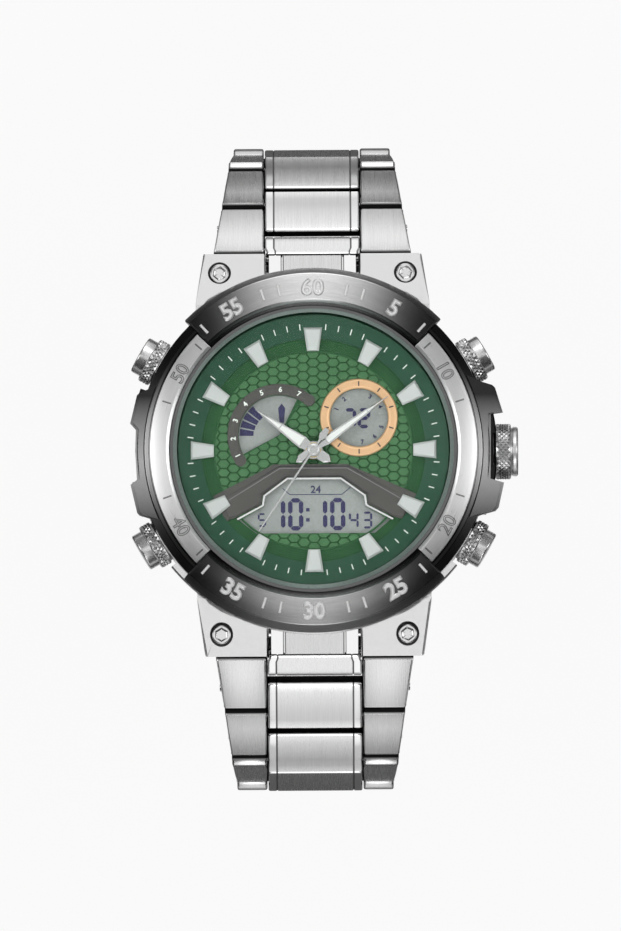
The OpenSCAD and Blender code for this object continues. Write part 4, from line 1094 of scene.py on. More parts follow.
def make_knuckles():
    """The end links' knuckles: a bar between the first two outer links that stands a little proud of
    the tongue. It is narrower where it lies between the lugs."""
    outline, crevice = knuckle_outline()
    x, inset = round_ends(-CENTRE_W, CENTRE_W, 0.22, between=GROOVES)
    rings = bar_rings(outline, inset)
    u, w = rings[..., 0], rings[..., 1]
    across = np.where(u < -1.25, x[:, None] * (5.7 / CENTRE_W), x[:, None] + 0 * u)
    mask, gap = centre_masks(rings, x, inset, crevice)
    uv = np.stack(np.broadcast_arrays(x[:, None] + 91, arc_length(rings[len(x) // 2])[None]), axis=-1)
    skin = Skin()
    for half in (1, -1):
        skin.sheet(link_place(0, half)(across, u, w), uv, mask, caps=True, gap=gap)
    return make_piece("end_link_knuckles", skin, "case", bracelet_steel)


for row_number in range(ROWS):
    make_row(row_number, 12, 1)
    make_row(row_number, 6, -1)
make_knuckles()
make_slit_floors()
print("bracelet:", 2 * ROWS, "rows and two knuckles")

# %% [markdown]
# ## Bezel
# The bezel has a dark base ring. On it stand two plated bridges, at 12 and 6 o'clock, and two silver
# arcs at 3 and 9. Bridges and arcs are one outline each, drawn in (radius, height), carried round
# the dial's axis and drawn in at both ends. Plain minute numbers stand on them: raised and silver on
# the bridges, as fine outlines on the arcs.

# %% Bezel values
UPPER_BRIDGE_DEG = 44.5
LOWER_BRIDGE_DEG = 45.5
ARC_GAP_DEG = 0.4
BEZEL_IN_R = 17.95
INLAY_R = 20.45
BRIDGE_R = 22.9
BASE_R = 22.05
Z_BEZEL = bezel_z / mm
Z_FLOOR = glass_z / mm - 0.1
Z_CASE = case_top / mm
Z_DIAL = dial_z / mm


def on_ring(r, z, clock_deg):
    """Points at a radius and height, at an angle clockwise from 12 o'clock."""
    turn = np.radians(clock_deg)
    return np.stack(np.broadcast_arrays(r * np.sin(turn), r * np.cos(turn), z), axis=-1) * mm


def ring_bar(skin, outline, from_deg, to_deg, edge):
    """Carries an outline (radius, height) round the axis. Arc length at 20 mm sets the stations."""
    scale = math.radians(1) * 20
    mid = np.linspace(from_deg * scale + edge * 1.5, to_deg * scale - edge * 1.5, 60)
    s, inset = round_ends(from_deg * scale, to_deg * scale, edge, between=[(v, 0) for v in mid])
    rings = bar_rings(outline, inset)
    uv = np.stack(np.broadcast_arrays(s[:, None], arc_length(rings[len(s) // 2])[None]), axis=-1)
    skin.sheet(on_ring(rings[..., 0], rings[..., 1], (s / scale)[:, None]), uv, caps=True)


def make_bridges():
    """Both bridges: a foot on the case, a sloping outer flank, a sloping top and an inner slope."""
    outline = rounded(
        [
            (BEZEL_IN_R + 0.06, Z_FLOOR + 0.02), (INLAY_R + 0.12, Z_FLOOR + 0.02),
            (INLAY_R + 0.65, Z_FLOOR + 0.3), (BASE_R + 0.03, Z_DIAL + 0.56),
            (BASE_R + 0.03, Z_CASE + 0.02), (BRIDGE_R - 0.12, Z_CASE + 0.02), (BRIDGE_R, Z_CASE + 0.7),
            (BASE_R + 0.05, Z_BEZEL - 0.4), (BEZEL_IN_R + 0.85, Z_BEZEL),
            (BEZEL_IN_R + 0.06, Z_BEZEL - 0.7),
        ],
        [0.05, 0.05, 0.05, 0.05, 0.04, 0.08, 0.12, 0.16, 0.12, 0.1],
    )
    skin = Skin()
    ring_bar(skin, outline, -UPPER_BRIDGE_DEG, UPPER_BRIDGE_DEG, 0.18)
    ring_bar(skin, outline, 180 - LOWER_BRIDGE_DEG, 180 + LOWER_BRIDGE_DEG, 0.18)
    return make_piece("bridges", skin, "case", bridge_plating, ["bezel_bridges"])


def make_arcs():
    """The two silver arcs between the bridges, lower than they are."""
    outline = rounded(
        [
            (BEZEL_IN_R + 0.06, Z_FLOOR + 0.02), (INLAY_R, Z_FLOOR + 0.02), (INLAY_R, Z_BEZEL - 0.75),
            (BEZEL_IN_R + 0.5, Z_BEZEL - 0.3), (BEZEL_IN_R + 0.06, Z_BEZEL - 0.5),
        ],
        [0.04, 0.04, 0.1, 0.12, 0.08],
    )
    skin = Skin()
    start, end = UPPER_BRIDGE_DEG + ARC_GAP_DEG, 180 - LOWER_BRIDGE_DEG - ARC_GAP_DEG
    ring_bar(skin, outline, start, end, 0.08)
    ring_bar(skin, outline, 360 - end, 360 - start, 0.08)
    return make_piece("silver_arcs", skin, "case", inlay_steel, ["bezel_inlay"])


make_bridges()
make_arcs()
print("bezel: two bridges, two silver arcs")

# %% [markdown]
# ## Numbers
# A number starts as a text object. It is made a mesh, scaled to its height and centred, and only
# then put in place, because a text object's own place would be lost in the export. Its place is
# given by three directions: to the right of the number, up it, and out of the surface.

# %% Number tools


def number_shape(text, height, depth, outline=0.0, weight=0.0):
    """Points and faces of a number, centred, height mm high. With outline, its contour as a wire."""
    curve = bpy.data.curves.new("number", "FONT")
    curve.body = text
    curve.align_x = "CENTER"
    curve.resolution_u = 3
    curve.size = 1.0
    plain = bpy.data.objects.new("number", curve)
    bpy.context.scene.collection.objects.link(plain)
    bpy.context.view_layer.update()
    scale = height / 0.7
    if outline:
        curve.fill_mode = "NONE"
        curve.bevel_depth = outline / scale
        curve.bevel_resolution = 0
    else:
        curve.extrude = depth / scale
        curve.bevel_depth = 0.03 / scale
        curve.bevel_resolution = 0
        curve.offset = weight / scale
    mesh = bpy.data.meshes.new_from_object(plain.evaluated_get(bpy.context.evaluated_depsgraph_get()))
    points = np.zeros(len(mesh.vertices) * 3)
    mesh.vertices.foreach_get("co", points)
    faces = [list(f.vertices) for f in mesh.polygons]
    bpy.data.objects.remove(plain)
    points = points.reshape(-1, 3) * scale
    low, high = points.min(0), points.max(0)
    points[:, :2] -= (low[:2] + high[:2]) / 2
    return points, faces


def put_number(skin, text, height, depth, centre, right, up, outline=0.0, weight=0.0, slot=0):
    """Adds a number to a skin: its own axes turned to right and up, its middle at centre (in mm)."""
    points, faces = number_shape(text, height, depth, outline, weight)
    right, up = np.array(right, float), np.array(up, float)
    right, up = right / np.linalg.norm(right), up / np.linalg.norm(up)
    placed = points @ np.stack([right, up, np.cross(right, up)]) + centre
    skin.add(placed * mm, [[i + skin.count for i in face] for face in faces], slot=slot)


def ring_axes(clock_deg, slope, upright):
    """Right and up directions of a number on a sloping ring. Upright is 1 where its top points out."""
    turn = math.radians(clock_deg)
    out = np.array([math.sin(turn), math.cos(turn), -slope])
    right = np.array([math.cos(turn), -math.sin(turn), 0])
    return right * upright, out * upright


def tick(skin, clock_deg, r0, r1, width, level, slope, height):
    """A raised stroke along the radius: a small block with a narrower top."""
    across = np.array([-1, 1, 1, -1]) * width / 2
    radial = np.array([r0, r0, r1, r1])
    turn = math.radians(clock_deg)
    out, right = np.array([math.sin(turn), math.cos(turn)]), np.array([math.cos(turn), -math.sin(turn)])
    layers = []
    for grow, lift in ((1, -0.05), (1, height * 0.5), (0.6, height)):
        flat = (across * grow)[:, None] * right + radial[:, None] * out
        layers.append(np.column_stack([flat, level - slope * (radial - r0) + lift]))
    skin.blocks(np.concatenate(layers)[None] * mm, side_faces(4, 3) + [(3, 2, 1, 0), (8, 9, 10, 11)])


# %% Numbers on the bezel
BRIDGE_SLOPE = 0.4 / 3.25
ARC_SLOPE = 0.45 / 2.0
BRIDGE_NUMBER_R = 20.3
ARC_NUMBER_R = 19.2


def bridge_level(r):
    """Height of the bridge's top: it falls off along its slope from its inner edge."""
    return Z_BEZEL - BRIDGE_SLOPE * (r - BEZEL_IN_R - 0.85)


def arc_level(r):
    """Height of the silver arc's top, by the same rule."""
    return Z_BEZEL - 0.3 - ARC_SLOPE * (r - BEZEL_IN_R - 0.5)


def make_bridge_numbers():
    """Slot 0 is the raised silver number, slot 1 the dark line round it, painted shade at its foot."""
    skin = Skin()
    for minute in (55, 60, 5, 25, 30, 35):
        clock = minute * 6 % 360
        upright = -1 if 90 < clock < 270 else 1
        right, up = ring_axes(clock, BRIDGE_SLOPE, upright)
        centre = on_ring(BRIDGE_NUMBER_R, bridge_level(BRIDGE_NUMBER_R) - 0.02, clock) / mm
        put_number(skin, str(minute), 2.0, 0.1, centre, right, up, weight=0.012)
        put_number(skin, str(minute), 2.0, 0, centre - [0, 0, 0.01], right, up, outline=0.17, slot=1)
    for minute in (53, 57, 58, 2, 3, 7, 23, 27, 28, 32, 33, 37):
        tick(skin, minute * 6, 19.6, 21.0, 0.34, bridge_level(19.6), BRIDGE_SLOPE, 0.13)
    finishes = [number_silver, painted_shade_black]
    return make_piece("bridge_numbers", skin, "case", finishes, smooth=0)


def make_arc_numbers():
    """Numbers as fine wires and short strokes, lying on the silver arcs."""
    skin = Skin()
    for minute in (10, 20, 40, 50):
        clock = minute * 6
        upright = -1 if 90 < clock < 270 else 1
        right, up = ring_axes(clock, ARC_SLOPE, upright)
        centre = on_ring(ARC_NUMBER_R, arc_level(ARC_NUMBER_R) + 0.03, clock) / mm
        put_number(skin, str(minute), 1.7, 0.0, centre, right, up, outline=0.05)
    for minute in (8, 12, 18, 22, 38, 42, 48, 52):
        tick(skin, minute * 6, 18.7, 19.8, 0.2, arc_level(18.7), ARC_SLOPE, 0.06)
    return make_piece("arc_numbers", skin, "case", number_grey)


number_silver = speckled("number_silver", grey(0.92), grey(0.98), 0.3, 0.6, 3.0, 0.002)
number_grey = satin_steel("number_grey", 0.3, 0.35)
make_bridge_numbers()
make_arc_numbers()
print("numbers on the bezel: 10, with strokes between them")

# %% [markdown]
# ## Crown, collars and buttons
# A knurl is cut by two families of helical grooves that cross. Its lands are small pyramids. On a
# grid whose steps are half a pyramid, every second point is a crossing of two grooves and the points
# between them are the pyramids' tips, so a checkerboard of low and high radii gives the exact form.
# Each grid cell is split along its low corners. The knurl on a part is one such grid, and the plain
# parts before and after it are turned profiles.

# %% Knurled parts
KNURL_LAND = 0.35


def flank(points, deg):
    """Turns points given along +X about the dial's axis and lifts them to the stem's height."""
    a = math.radians(deg)
    x = points[..., 0] * math.cos(a) - points[..., 1] * math.sin(a)
    y = points[..., 0] * math.sin(a) + points[..., 1] * math.cos(a)
    return np.stack([x * mm, y * mm, points[..., 2] * mm + stem_z], axis=-1)


def turning(profile, steps):
    """A profile of (x, radius) revolved about X."""
    p = np.array(profile, float)
    turn = np.linspace(0, TAU, steps + 1)
    x = p[:, :1] + 0 * turn
    return np.stack([x, p[:, 1:] * np.cos(turn), p[:, 1:] * np.sin(turn)], axis=-1)


def knurl(skin, x0, x1, radius, count, depth, deg, slot=0):
    """A knurled cylinder from x0 to x1: count pyramids round it, as long as they are wide. Both ends
    are plain circles, a share of the depth below the tips."""
    pitch = TAU * radius / count
    rows = max(2 * round((x1 - x0) / pitch), 2)
    i, j = np.meshgrid(np.arange(rows + 1), np.arange(2 * count + 1), indexing="ij")
    low = (i + j) % 2 == 0
    r = np.where(low, radius - depth, radius)
    r[[0, -1]] = radius - depth * KNURL_LAND
    turn = j * TAU / (2 * count)
    grid = np.stack([x0 + (x1 - x0) * i / rows, r * np.cos(turn), r * np.sin(turn)], axis=-1)
    cells = quads(rows + 1, 2 * count + 1)
    first_low = low.ravel()[cells[:, 0]]
    a, b, c, d = cells.T
    split = [np.stack(t, axis=1)[first_low] for t in ((a, b, c), (a, c, d))]
    split += [np.stack(t, axis=1)[~first_low] for t in ((b, c, d), (a, b, d))]
    faces = (np.concatenate(split) + skin.count).tolist()
    skin.add(flank(grid, deg).reshape(-1, 3), faces, slot=slot)


def make_crown():
    """Slot 0 is the knurl, slot 1 the polished end disc, slot 2 the back face towards the case, painted
    dark as painted shade.
    """
    count, r, depth = 34, 3.5, 0.19
    skin = Skin()
    knurl(skin, 22.85, 24.62, r, count, depth, 0)
    low = r - depth * KNURL_LAND
    back = [(22.57, 0.0), (22.57, 2.8), (22.62, 3.05), (22.85, low)]
    front = [
        (24.62, low), (24.7, 3.3), (24.74, 3.0), (24.84, 2.96), (24.9, 3.04), (25.02, 3.1),
        (25.36, 3.1), (25.48, 3.06), (25.56, 2.97), (25.59, 2.85), (25.6, 2.6), (25.6, 0.0),
    ]
    skin.sheet(flank(turning(back, 2 * count), 0), slot=2)
    skin.sheet(flank(turning(front, 2 * count), 0), slot=1)
    finishes = [knurl_steel, button_steel, painted_shade_black]
    return make_piece("crown_knurled", skin, "crown", finishes, ["crown"], smooth=14)


def make_collars():
    """Four collars: a plain root inside the case, a knurled flange and a rounded mouth."""
    count, r, depth = 32, 2.95, 0.17
    low = r - depth * KNURL_LAND
    root = [(23.0, 2.45), (20.95, 2.45), (20.95, 2.66), (22.16, 2.66), (22.2, 2.7), (22.24, low)]
    mouth = [
        (23.56, low), (23.62, low - 0.05), (23.66, low - 0.14), (23.7, 2.52), (23.64, 2.45),
        (23.0, 2.45),
    ]
    skin = Skin()
    for deg in (30, -30, -150, 150):
        knurl(skin, 22.24, 23.56, r, count, depth, deg)
        skin.sheet(flank(turning(root, 2 * count), deg), slot=1)
        skin.sheet(flank(turning(mouth, 2 * count), deg), slot=1)
    finishes, stood_for = [knurl_steel, screw_steel], ["pusher_tubes"]
    return make_piece("pusher_collars", skin, "case", finishes, stood_for, smooth=14)


def make_buttons():
    """Each pusher is a stem and a button with a rounded rim and a slightly domed end."""
    profile = [
        (15.3, 0.0), (15.3, 0.7), (15.35, 0.75), (23.2, 0.75), (23.2, 2.3), (23.26, 2.4),
        (24.78, 2.4), (24.88, 2.38), (24.96, 2.31), (25.0, 2.2), (25.03, 1.4), (25.05, 0.7),
        (25.05, 0.0),
    ]
    for node, deg in (("pusher_2", 30), ("pusher_4", -30), ("pusher_8", -150), ("pusher_10", 150)):
        skin = Skin()
        skin.sheet(flank(turning(profile, 64), deg))
        make_piece(node + "_turned", skin, node, button_steel, [node])


def make_crown_seat():
    """A washer painted near black as painted shade, which closes the slit between the crown and the
    case.
    """
    skin = Skin()
    loop = [(22.35, 2.2), (22.35, 3.3), (22.54, 3.3), (22.54, 2.2), (22.35, 2.2)]
    skin.sheet(flank(turning(loop, 48), 0))
    return make_piece("crown_gap_shade", skin, "case", painted_shade_black)


make_crown()
make_crown_seat()
make_collars()
make_buttons()
print("knurls: crown and four collars; four buttons")

# %% [markdown]
# ## Lug screws
# Each lug carries a screw in a counterbore. The head is turned, with a domed rim, and has a hexagon
# socket whose chamfer and floor are painted darker as painted shade. A black sleeve, also painted
# shade, fills the gap round it. One sheet makes a head: its rows run from the rim to the socket's
# floor, and its columns run round. The hexagon's radius at an angle is its flat's distance over the
# cosine of the angle from the flat's middle.

# %% Screw heads
SCREW = (11.65, 22.7)
Z_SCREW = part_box("lug_screws")[1].z / mm


def hexagon(turn, flat):
    """Radius of a hexagon with the given distance to its flats, at every angle."""
    return flat / np.cos((turn + math.pi / 6) % (math.pi / 3) - math.pi / 6)


def screw_sheet(rows, centre, phase):
    """Rows of (radius, height, 1 where the row is a hexagon) carried round a screw's axis."""
    turn = np.linspace(0, TAU, 73)
    table = np.array(rows, float)
    round_r = table[:, :1] + 0 * turn
    six_r = hexagon(turn + phase, 1.0)[None] * table[:, :1]
    r = np.where(table[:, 2:] > 0, six_r, round_r)
    x, y = centre[0] + r * np.cos(turn), centre[1] + r * np.sin(turn)
    return np.stack(np.broadcast_arrays(x, y, Z_SCREW + table[:, 1:2]), axis=-1) * mm


def make_lug_screws():
    """Slot 0 is the head, slot 1 its socket chamfer in painted shade, slot 2 the socket's floor, painted
    darker as shade too.
    """
    head = [(0.0, -1.05, 0), (1.22, -1.05, 0), (1.24, -0.3, 0), (1.22, -0.14, 0), (1.14, -0.03, 0),
            (1.02, 0.0, 0), (0.8, -0.01, 1)]
    chamfer = [(0.8, -0.01, 1), (0.66, -0.2, 1), (0.62, -0.34, 1)]
    floor = [(0.62, -0.34, 1), (0.58, -0.36, 1), (0.0, -0.36, 0)]
    sleeve = [
        (1.23, -1.05, 0), (1.43, -1.05, 0), (1.43, -0.2, 0), (1.38, -0.13, 0), (1.3, -0.12, 0),
        (1.23, -0.2, 0),
    ]
    skin, rings = Skin(), Skin()
    for k, (sx, sy) in enumerate(((1, 1), (-1, 1), (-1, -1), (1, -1))):
        centre, phase = (SCREW[0] * sx, SCREW[1] * sy), 0.3 + 0.9 * k
        skin.sheet(screw_sheet(head, centre, phase), slot=0)
        skin.sheet(screw_sheet(chamfer, centre, phase), slot=1)
        skin.sheet(screw_sheet(floor, centre, phase), slot=2)
        # The black sleeve is painted shade in the gap round the head.
        rings.sheet(screw_sheet(sleeve + sleeve[:1], centre, 0))
    make_piece("screw_gap_shades", rings, "case", rubber_and_gap_shade)
    finishes, stood_for = [screw_steel, painted_shade_black, movement_metal_and_shade], ["lug_screws"]
    return make_piece("screw_heads", skin, "case", finishes, stood_for, smooth=25)


def make_crystal_bevel():
    """A thin opaque grey green ring on the crystal's ground edge: a painted reflection of the edge, with
    the dial's green in it.
    """
    low, high = glass_z / mm + 1.05, glass_z / mm + 1.5
    profile = [(17.52, low + 0.02), (17.56, low + 0.02), (17.12, high + 0.015), (17.08, high - 0.01)]
    skin = Skin()
    skin.sheet(revolved(closed(np.array(profile)), 180) * mm)
    return make_piece("crystal_bevel", skin, "case", bevel_reflection)


make_lug_screws()
make_crystal_bevel()
print("four screw heads with sleeves, crystal bevel")

# %% [markdown]
# ## Dial
# The middle of the dial is stamped with a honeycomb of low pillows. One pillow is a set of hexagon
# rings that shrink as they rise, and an array of offsets makes hundreds of them at once. A Boolean
# modifier then cuts them at the windows, at the gold ring and at the rim, as the dial's punch does.

# %% Honeycomb
COLUMN_STEP = 1.25
ROW_STEP = 1.1
HONEYCOMB_R = 12.3
CELL_RINGS = ((0.96, -0.05), (0.96, 0.004), (0.86, 0.07), (0.78, 0.1), (0.4, 0.115))
GOLD = (5.7, 4.08)
DAY = (-4.3, 1.9)
MAIN_WINDOW = [
    (-9.35, -8.75), (-6.25, -7.0), (-6.1, -5.75), (-3.22, -3.62), (3.32, -3.62),
    (6.3, -5.75), (6.45, -7.0), (9.55, -8.75), (7.6, -10.4), (-7.2, -10.4),
]


def cell_centres():
    """Centres of a hexagonal grid: every second column is half a row higher."""
    i, j = np.meshgrid(np.arange(-10, 11), np.arange(-12, 13))
    x = i * COLUMN_STEP
    y = (j + 0.5 * (i % 2)) * ROW_STEP
    centres = np.stack([x.ravel(), y.ravel()], axis=1)
    return centres[np.hypot(*centres.T) < HONEYCOMB_R + 0.7]


def honeycomb_skin():
    """Every cell has rings of 6 corners, and a middle point. The hexagon is as wide as 4/3 columns."""
    half_w, half_h = COLUMN_STEP * 2 / 3, ROW_STEP / 2
    corners = np.array([(half_w, 0), (half_w / 2, half_h), (-half_w / 2, half_h),
                        (-half_w, 0), (-half_w / 2, -half_h), (half_w / 2, -half_h)])
    rings = [np.column_stack([corners * s, np.full(6, z)]) for s, z in CELL_RINGS]
    cell = np.concatenate(rings + [[[0, 0, 0.12]]])
    centres = cell_centres()
    points = cell[None] + np.column_stack([centres, np.full(len(centres), Z_DIAL)])[:, None]
    top = 6 * (len(CELL_RINGS) - 1)
    peak = [(a + top, (a + 1) % 6 + top, top + 6) for a in range(6)]
    pattern = side_faces(6, len(CELL_RINGS)) + peak + [(5, 4, 3, 2, 1, 0)]
    skin = Skin()
    skin.blocks(points * mm, pattern)
    print("honeycomb:", len(centres), "cells")
    return skin


def disc_outline(centre, r, steps=72):
    """A circle as an outline."""
    turn = np.linspace(0, TAU, steps + 1)[:-1]
    return np.stack([centre[0] + r * np.cos(turn), centre[1] + r * np.sin(turn)], axis=1)


def sector_outline(centre, r, from_deg, to_deg, steps=40):
    """A slice of a disc: its centre and an arc."""
    turn = np.radians(np.linspace(from_deg, to_deg, steps))
    arc = np.stack([centre[0] + r * np.cos(turn), centre[1] + r * np.sin(turn)], axis=1)
    return np.concatenate([[centre], arc])


def cut(obj, cutter):
    """Applies a Boolean difference to an object's mesh and removes the cutter."""
    modifier = obj.modifiers.new("cut", "BOOLEAN")
    modifier.operation = "DIFFERENCE"
    modifier.solver = "EXACT"
    modifier.object = cutter
    result = bpy.data.meshes.new_from_object(obj.evaluated_get(bpy.context.evaluated_depsgraph_get()))
    obj.modifiers.clear()
    obj.data = result
    bpy.data.objects.remove(cutter)


def loose_object(name, skin):
    """An object for Boolean work only. It is removed from the scene after the cut."""
    mesh = bpy.data.meshes.new(name)
    mesh.from_pydata(np.concatenate(skin.points).tolist(), [], skin.faces)
    obj = bpy.data.objects.new(name, mesh)
    bpy.context.scene.collection.objects.link(obj)
    return obj


def turn_outwards(mesh):
    """Welds a cutter's seams and turns its faces outwards."""
    work = bmesh.new()
    work.from_mesh(mesh)
    bmesh.ops.remove_doubles(work, verts=work.verts, dist=1e-7)
    bmesh.ops.recalc_face_normals(work, faces=work.faces)
    work.to_mesh(mesh)
    work.free()


def make_honeycomb():
    """The cells, less the windows, the gold ring, the hub's hole and all that lies past the rim."""
    piece = loose_object("honeycomb_work", honeycomb_skin())
    windows = Skin()
    low, high = Z_DIAL - 1, Z_DIAL + 1
    prism(windows, MAIN_WINDOW[::-1], low, high)
    prism(windows, sector_outline(DAY, 5.06, 56, 210), low, high)
    prism(windows, disc_outline(GOLD, 4.6), low, high)
    prism(windows, disc_outline((0, 0), 1.55), low, high)
    cut(piece, loose_object("windows", windows))
    rim = Skin()
    ring = [(HONEYCOMB_R, low), (HONEYCOMB_R, high), (16, high), (16, low), (HONEYCOMB_R, low)]
    rim.sheet(revolved(ring, 144) * mm)
    cutter = loose_object("rim", rim)
    turn_outwards(cutter.data)
    cut(piece, cutter)
    mesh = piece.data
    bpy.data.objects.remove(piece)
    return place_piece("honeycomb", mesh, "case", cell_green, smooth=12)


make_honeycomb()

# %% [markdown]
# ## Dial furniture
# A low ridge parts the honeycomb from the grooved ring. White strokes mark the minutes on the
# sloping flange. The batons at the hours are silver blocks whose tops slope up outwards, with
# bevelled sides painted darker as painted shade.

# %% Ridge, minute strokes and batons


def flange_level(r):
    """Height of the flange's slope, as in the CAD: it rises from the dial to under the crystal."""
    return Z_DIAL + 0.25 + (r - 14.0) * (glass_z / mm - 0.15 - Z_DIAL - 0.25) / 2.9


def make_ridge():
    """A half round section, 0.26 wide, that stands about 0.1 above the dial."""
    skin = Skin()
    r, half = 12.42, 0.13
    section = ((-1, 0), (1, 0), (0.8, 0.6), (0.4, 0.95), (0, 1.05), (-0.4, 0.95), (-0.8, 0.6))
    profile = np.array([(r + half * c, Z_DIAL - 0.02 + 0.11 * s) for c, s in section])
    skin.sheet(revolved(closed(profile), 180) * mm)
    return make_piece("dial_ridge", skin, "case", ridge_green)


def make_minute_strokes():
    """A white stroke at each minute that has no baton."""
    skin = Skin()
    slope = -(flange_level(16) - flange_level(15))
    for minute in range(60):
        if minute % 5:
            tick(skin, minute * 6, 15.1, 15.82, 0.13, flange_level(15.1), slope, 0.03)
    return make_piece("minute_strokes", skin, "case", print_white, smooth=0)


def make_batons():
    """12 blocks. Rows of corners: base, shoulder and top; the top is drawn in and slopes up."""
    r0, r1 = 12.45, 15.35
    half = {r0: 0.75, r1: 1.17}
    draw = 0.27
    base = np.array([(-half[r0], r0), (half[r0], r0), (half[r1], r1), (-half[r1], r1)])
    top = base + [(draw, 0.06), (-draw, 0.06), (-draw, -draw), (draw, -draw)]
    low = np.column_stack([base, np.full(4, Z_DIAL - 0.02)])
    foot, back = np.array([1, 1, 0, 0]) * Z_DIAL, np.array([0, 0, 1, 1]) * flange_level(r1)
    shoulder = np.column_stack([base, foot + back + [0.4, 0.4, 0.12, 0.12]])
    crest = np.column_stack([top, foot + back + [0.62, 0.62, 0.3, 0.3]])
    block = np.concatenate([low, shoulder, crest])
    turn = np.radians(-30 * np.arange(12))[:, None]
    x, y = block[:, 0], block[:, 1]
    points = np.stack([x * np.cos(turn) - y * np.sin(turn), x * np.sin(turn) + y * np.cos(turn),
                       np.broadcast_to(block[:, 2], (12, 12))], axis=-1) * mm
    skin = Skin()
    # Sides and bottom are painted darker, as painted shade.
    skin.blocks(points, side_faces(4, 3) + [(3, 2, 1, 0)], slot=1)
    skin.blocks(points, [(8, 9, 10, 11)], slot=0)
    finishes, stood_for = [marker_silver, marker_shade], ["hour_markers"]
    obj = make_piece("hour_batons", skin, "case", finishes, stood_for, smooth=0)
    bevel = obj.modifiers.new("edges", "BEVEL")
    bevel.width = 0.03 * mm
    bevel.segments = 2
    return obj


make_ridge()
make_minute_strokes()
make_batons()
print("dial furniture: ridge, 48 strokes, 12 batons")

# %% [markdown]
# ## Readouts
# A liquid crystal digit is seven bars with pointed ends. Each bar is a long hexagon, and a digit is
# the set of bars that it lights. They lie as thin plates on the glass.

# %% Readout tools
Z_PANEL = panel_z / mm
INK = 0.012
SEGMENTS = {
    "0": "abcdef", "1": "bc", "2": "abged", "3": "abgcd", "4": "fgbc", "5": "afgcd",
    "6": "afgcde", "7": "abc", "8": "abcdefg", "9": "abcdfg",
}


def segment_outline(a, b, width, gap=0.04):
    """A long hexagon from a to b: its points lie on the line, its sides are half a width off it."""
    a, b = np.array(a, float), np.array(b, float)
    along = (b - a) / np.linalg.norm(b - a)
    side = np.array([-along[1], along[0]]) * width / 2
    a, b = a + along * gap, b - along * gap
    back, front = a + along * width / 2, b - along * width / 2
    return np.array([a, back - side, front - side, b, front + side, back + side])


def digit(skin, character, x, y, w, h, width, level):
    """Adds one digit with its lower left corner at (x, y), w wide and h high over its bars' middles."""
    l, r, b, m, t = x, x + w, y, y + h / 2, y + h
    ends = {"a": ((l, t), (r, t)), "b": ((r, m), (r, t)), "c": ((r, b), (r, m)), "d": ((l, b), (r, b)),
            "e": ((l, b), (l, m)), "f": ((l, m), (l, t)), "g": ((l, m), (r, m))}
    for name in SEGMENTS[character]:
        prism(skin, segment_outline(*ends[name], width), level, level + INK)


def stroke(skin, points, width, low, high):
    """A flat line through points, as one plate per stretch."""
    for a, b in zip(points[:-1], points[1:]):
        a, b = np.array(a, float), np.array(b, float)
        side = np.array([-(b - a)[1], (b - a)[0]]) / np.linalg.norm(b - a) * width / 2
        prism(skin, [a - side, b - side, b + side, a + side], low, high)


def make_main_readout():
    """Four large digits, a colon, three small digits and a line with a number over it."""
    skin = Skin()
    base, height, bar = -9.72, 3.5, 0.56
    digit(skin, "1", -5.15, base, 1.3, height, bar, Z_PANEL)
    digit(skin, "0", -2.95, base, 1.35, height, bar, Z_PANEL)
    digit(skin, "1", 0.1, base, 1.3, height, bar, Z_PANEL)
    digit(skin, "0", 2.3, base, 1.35, height, bar, Z_PANEL)
    for y in (base + height * 0.3, base + height * 0.66):
        dot = [(-0.98, y - 0.22), (-0.54, y - 0.22), (-0.54, y + 0.22), (-0.98, y + 0.22)]
        prism(skin, dot, Z_PANEL, Z_PANEL + INK)
    digit(skin, "4", 4.5, base + 0.05, 0.95, 1.85, 0.28, Z_PANEL)
    digit(skin, "3", 6.2, base + 0.05, 0.95, 1.85, 0.28, Z_PANEL)
    digit(skin, "5", -6.9, base + 0.3, 0.8, 1.5, 0.24, Z_PANEL)
    stroke(skin, [(-3.9, -4.7), (-3.0, -5.5), (3.5, -5.5), (4.6, -4.6)], 0.1, Z_PANEL, Z_PANEL + INK)
    put_number(skin, "24", 0.9, 0.003, (0.25, -4.85, Z_PANEL), (1, 0, 0), (0, 1, 0))
    return make_piece("main_readout", skin, "case", lcd_ink, smooth=0)


def make_day_readout():
    """Four blocks of a fan round the display's corner and a pointer beside them."""
    skin = Skin()
    for k in range(4):
        a0, a1 = np.radians([131 + 12.8 * k, 141.5 + 12.8 * k])
        turn = np.linspace(a0, a1, 5)
        ray = np.stack([np.cos(turn), np.sin(turn)], axis=1)
        inner, outer = 3.05 + 0.05 * k, 4.95
        block = np.concatenate([DAY + outer * ray, DAY + inner * ray[::-1]])
        prism(skin, block, Z_PANEL, Z_PANEL + INK)
    pointer = [(-4.22, 3.55), (-3.68, 3.55), (-3.5, 5.35), (-3.95, 5.95), (-4.4, 5.35)]
    prism(skin, pointer, Z_PANEL, Z_PANEL + INK)
    return make_piece("day_readout", skin, "case", lcd_ink, smooth=0)


def make_gold_readout():
    """Two digits, with small numbers round them."""
    skin = Skin()
    digit(skin, "7", 4.0, 3.0, 1.15, 2.1, 0.46, Z_PANEL)
    digit(skin, "2", 5.75, 3.0, 1.15, 2.1, 0.46, Z_PANEL)
    for k, deg in enumerate((158, 128, 62, 28, -22, -50, -82)):
        a = math.radians(deg)
        centre = (GOLD[0] + 3.02 * math.cos(a), GOLD[1] + 3.02 * math.sin(a), Z_PANEL)
        up = (math.cos(a), math.sin(a), 0) if deg > 0 else (-math.cos(a), -math.sin(a), 0)
        right = (up[1], -up[0], 0)
        put_number(skin, str(k + 1), 0.52, 0.003, centre, right, up)
    return make_piece("gold_readout", skin, "case", lcd_ink, smooth=0)


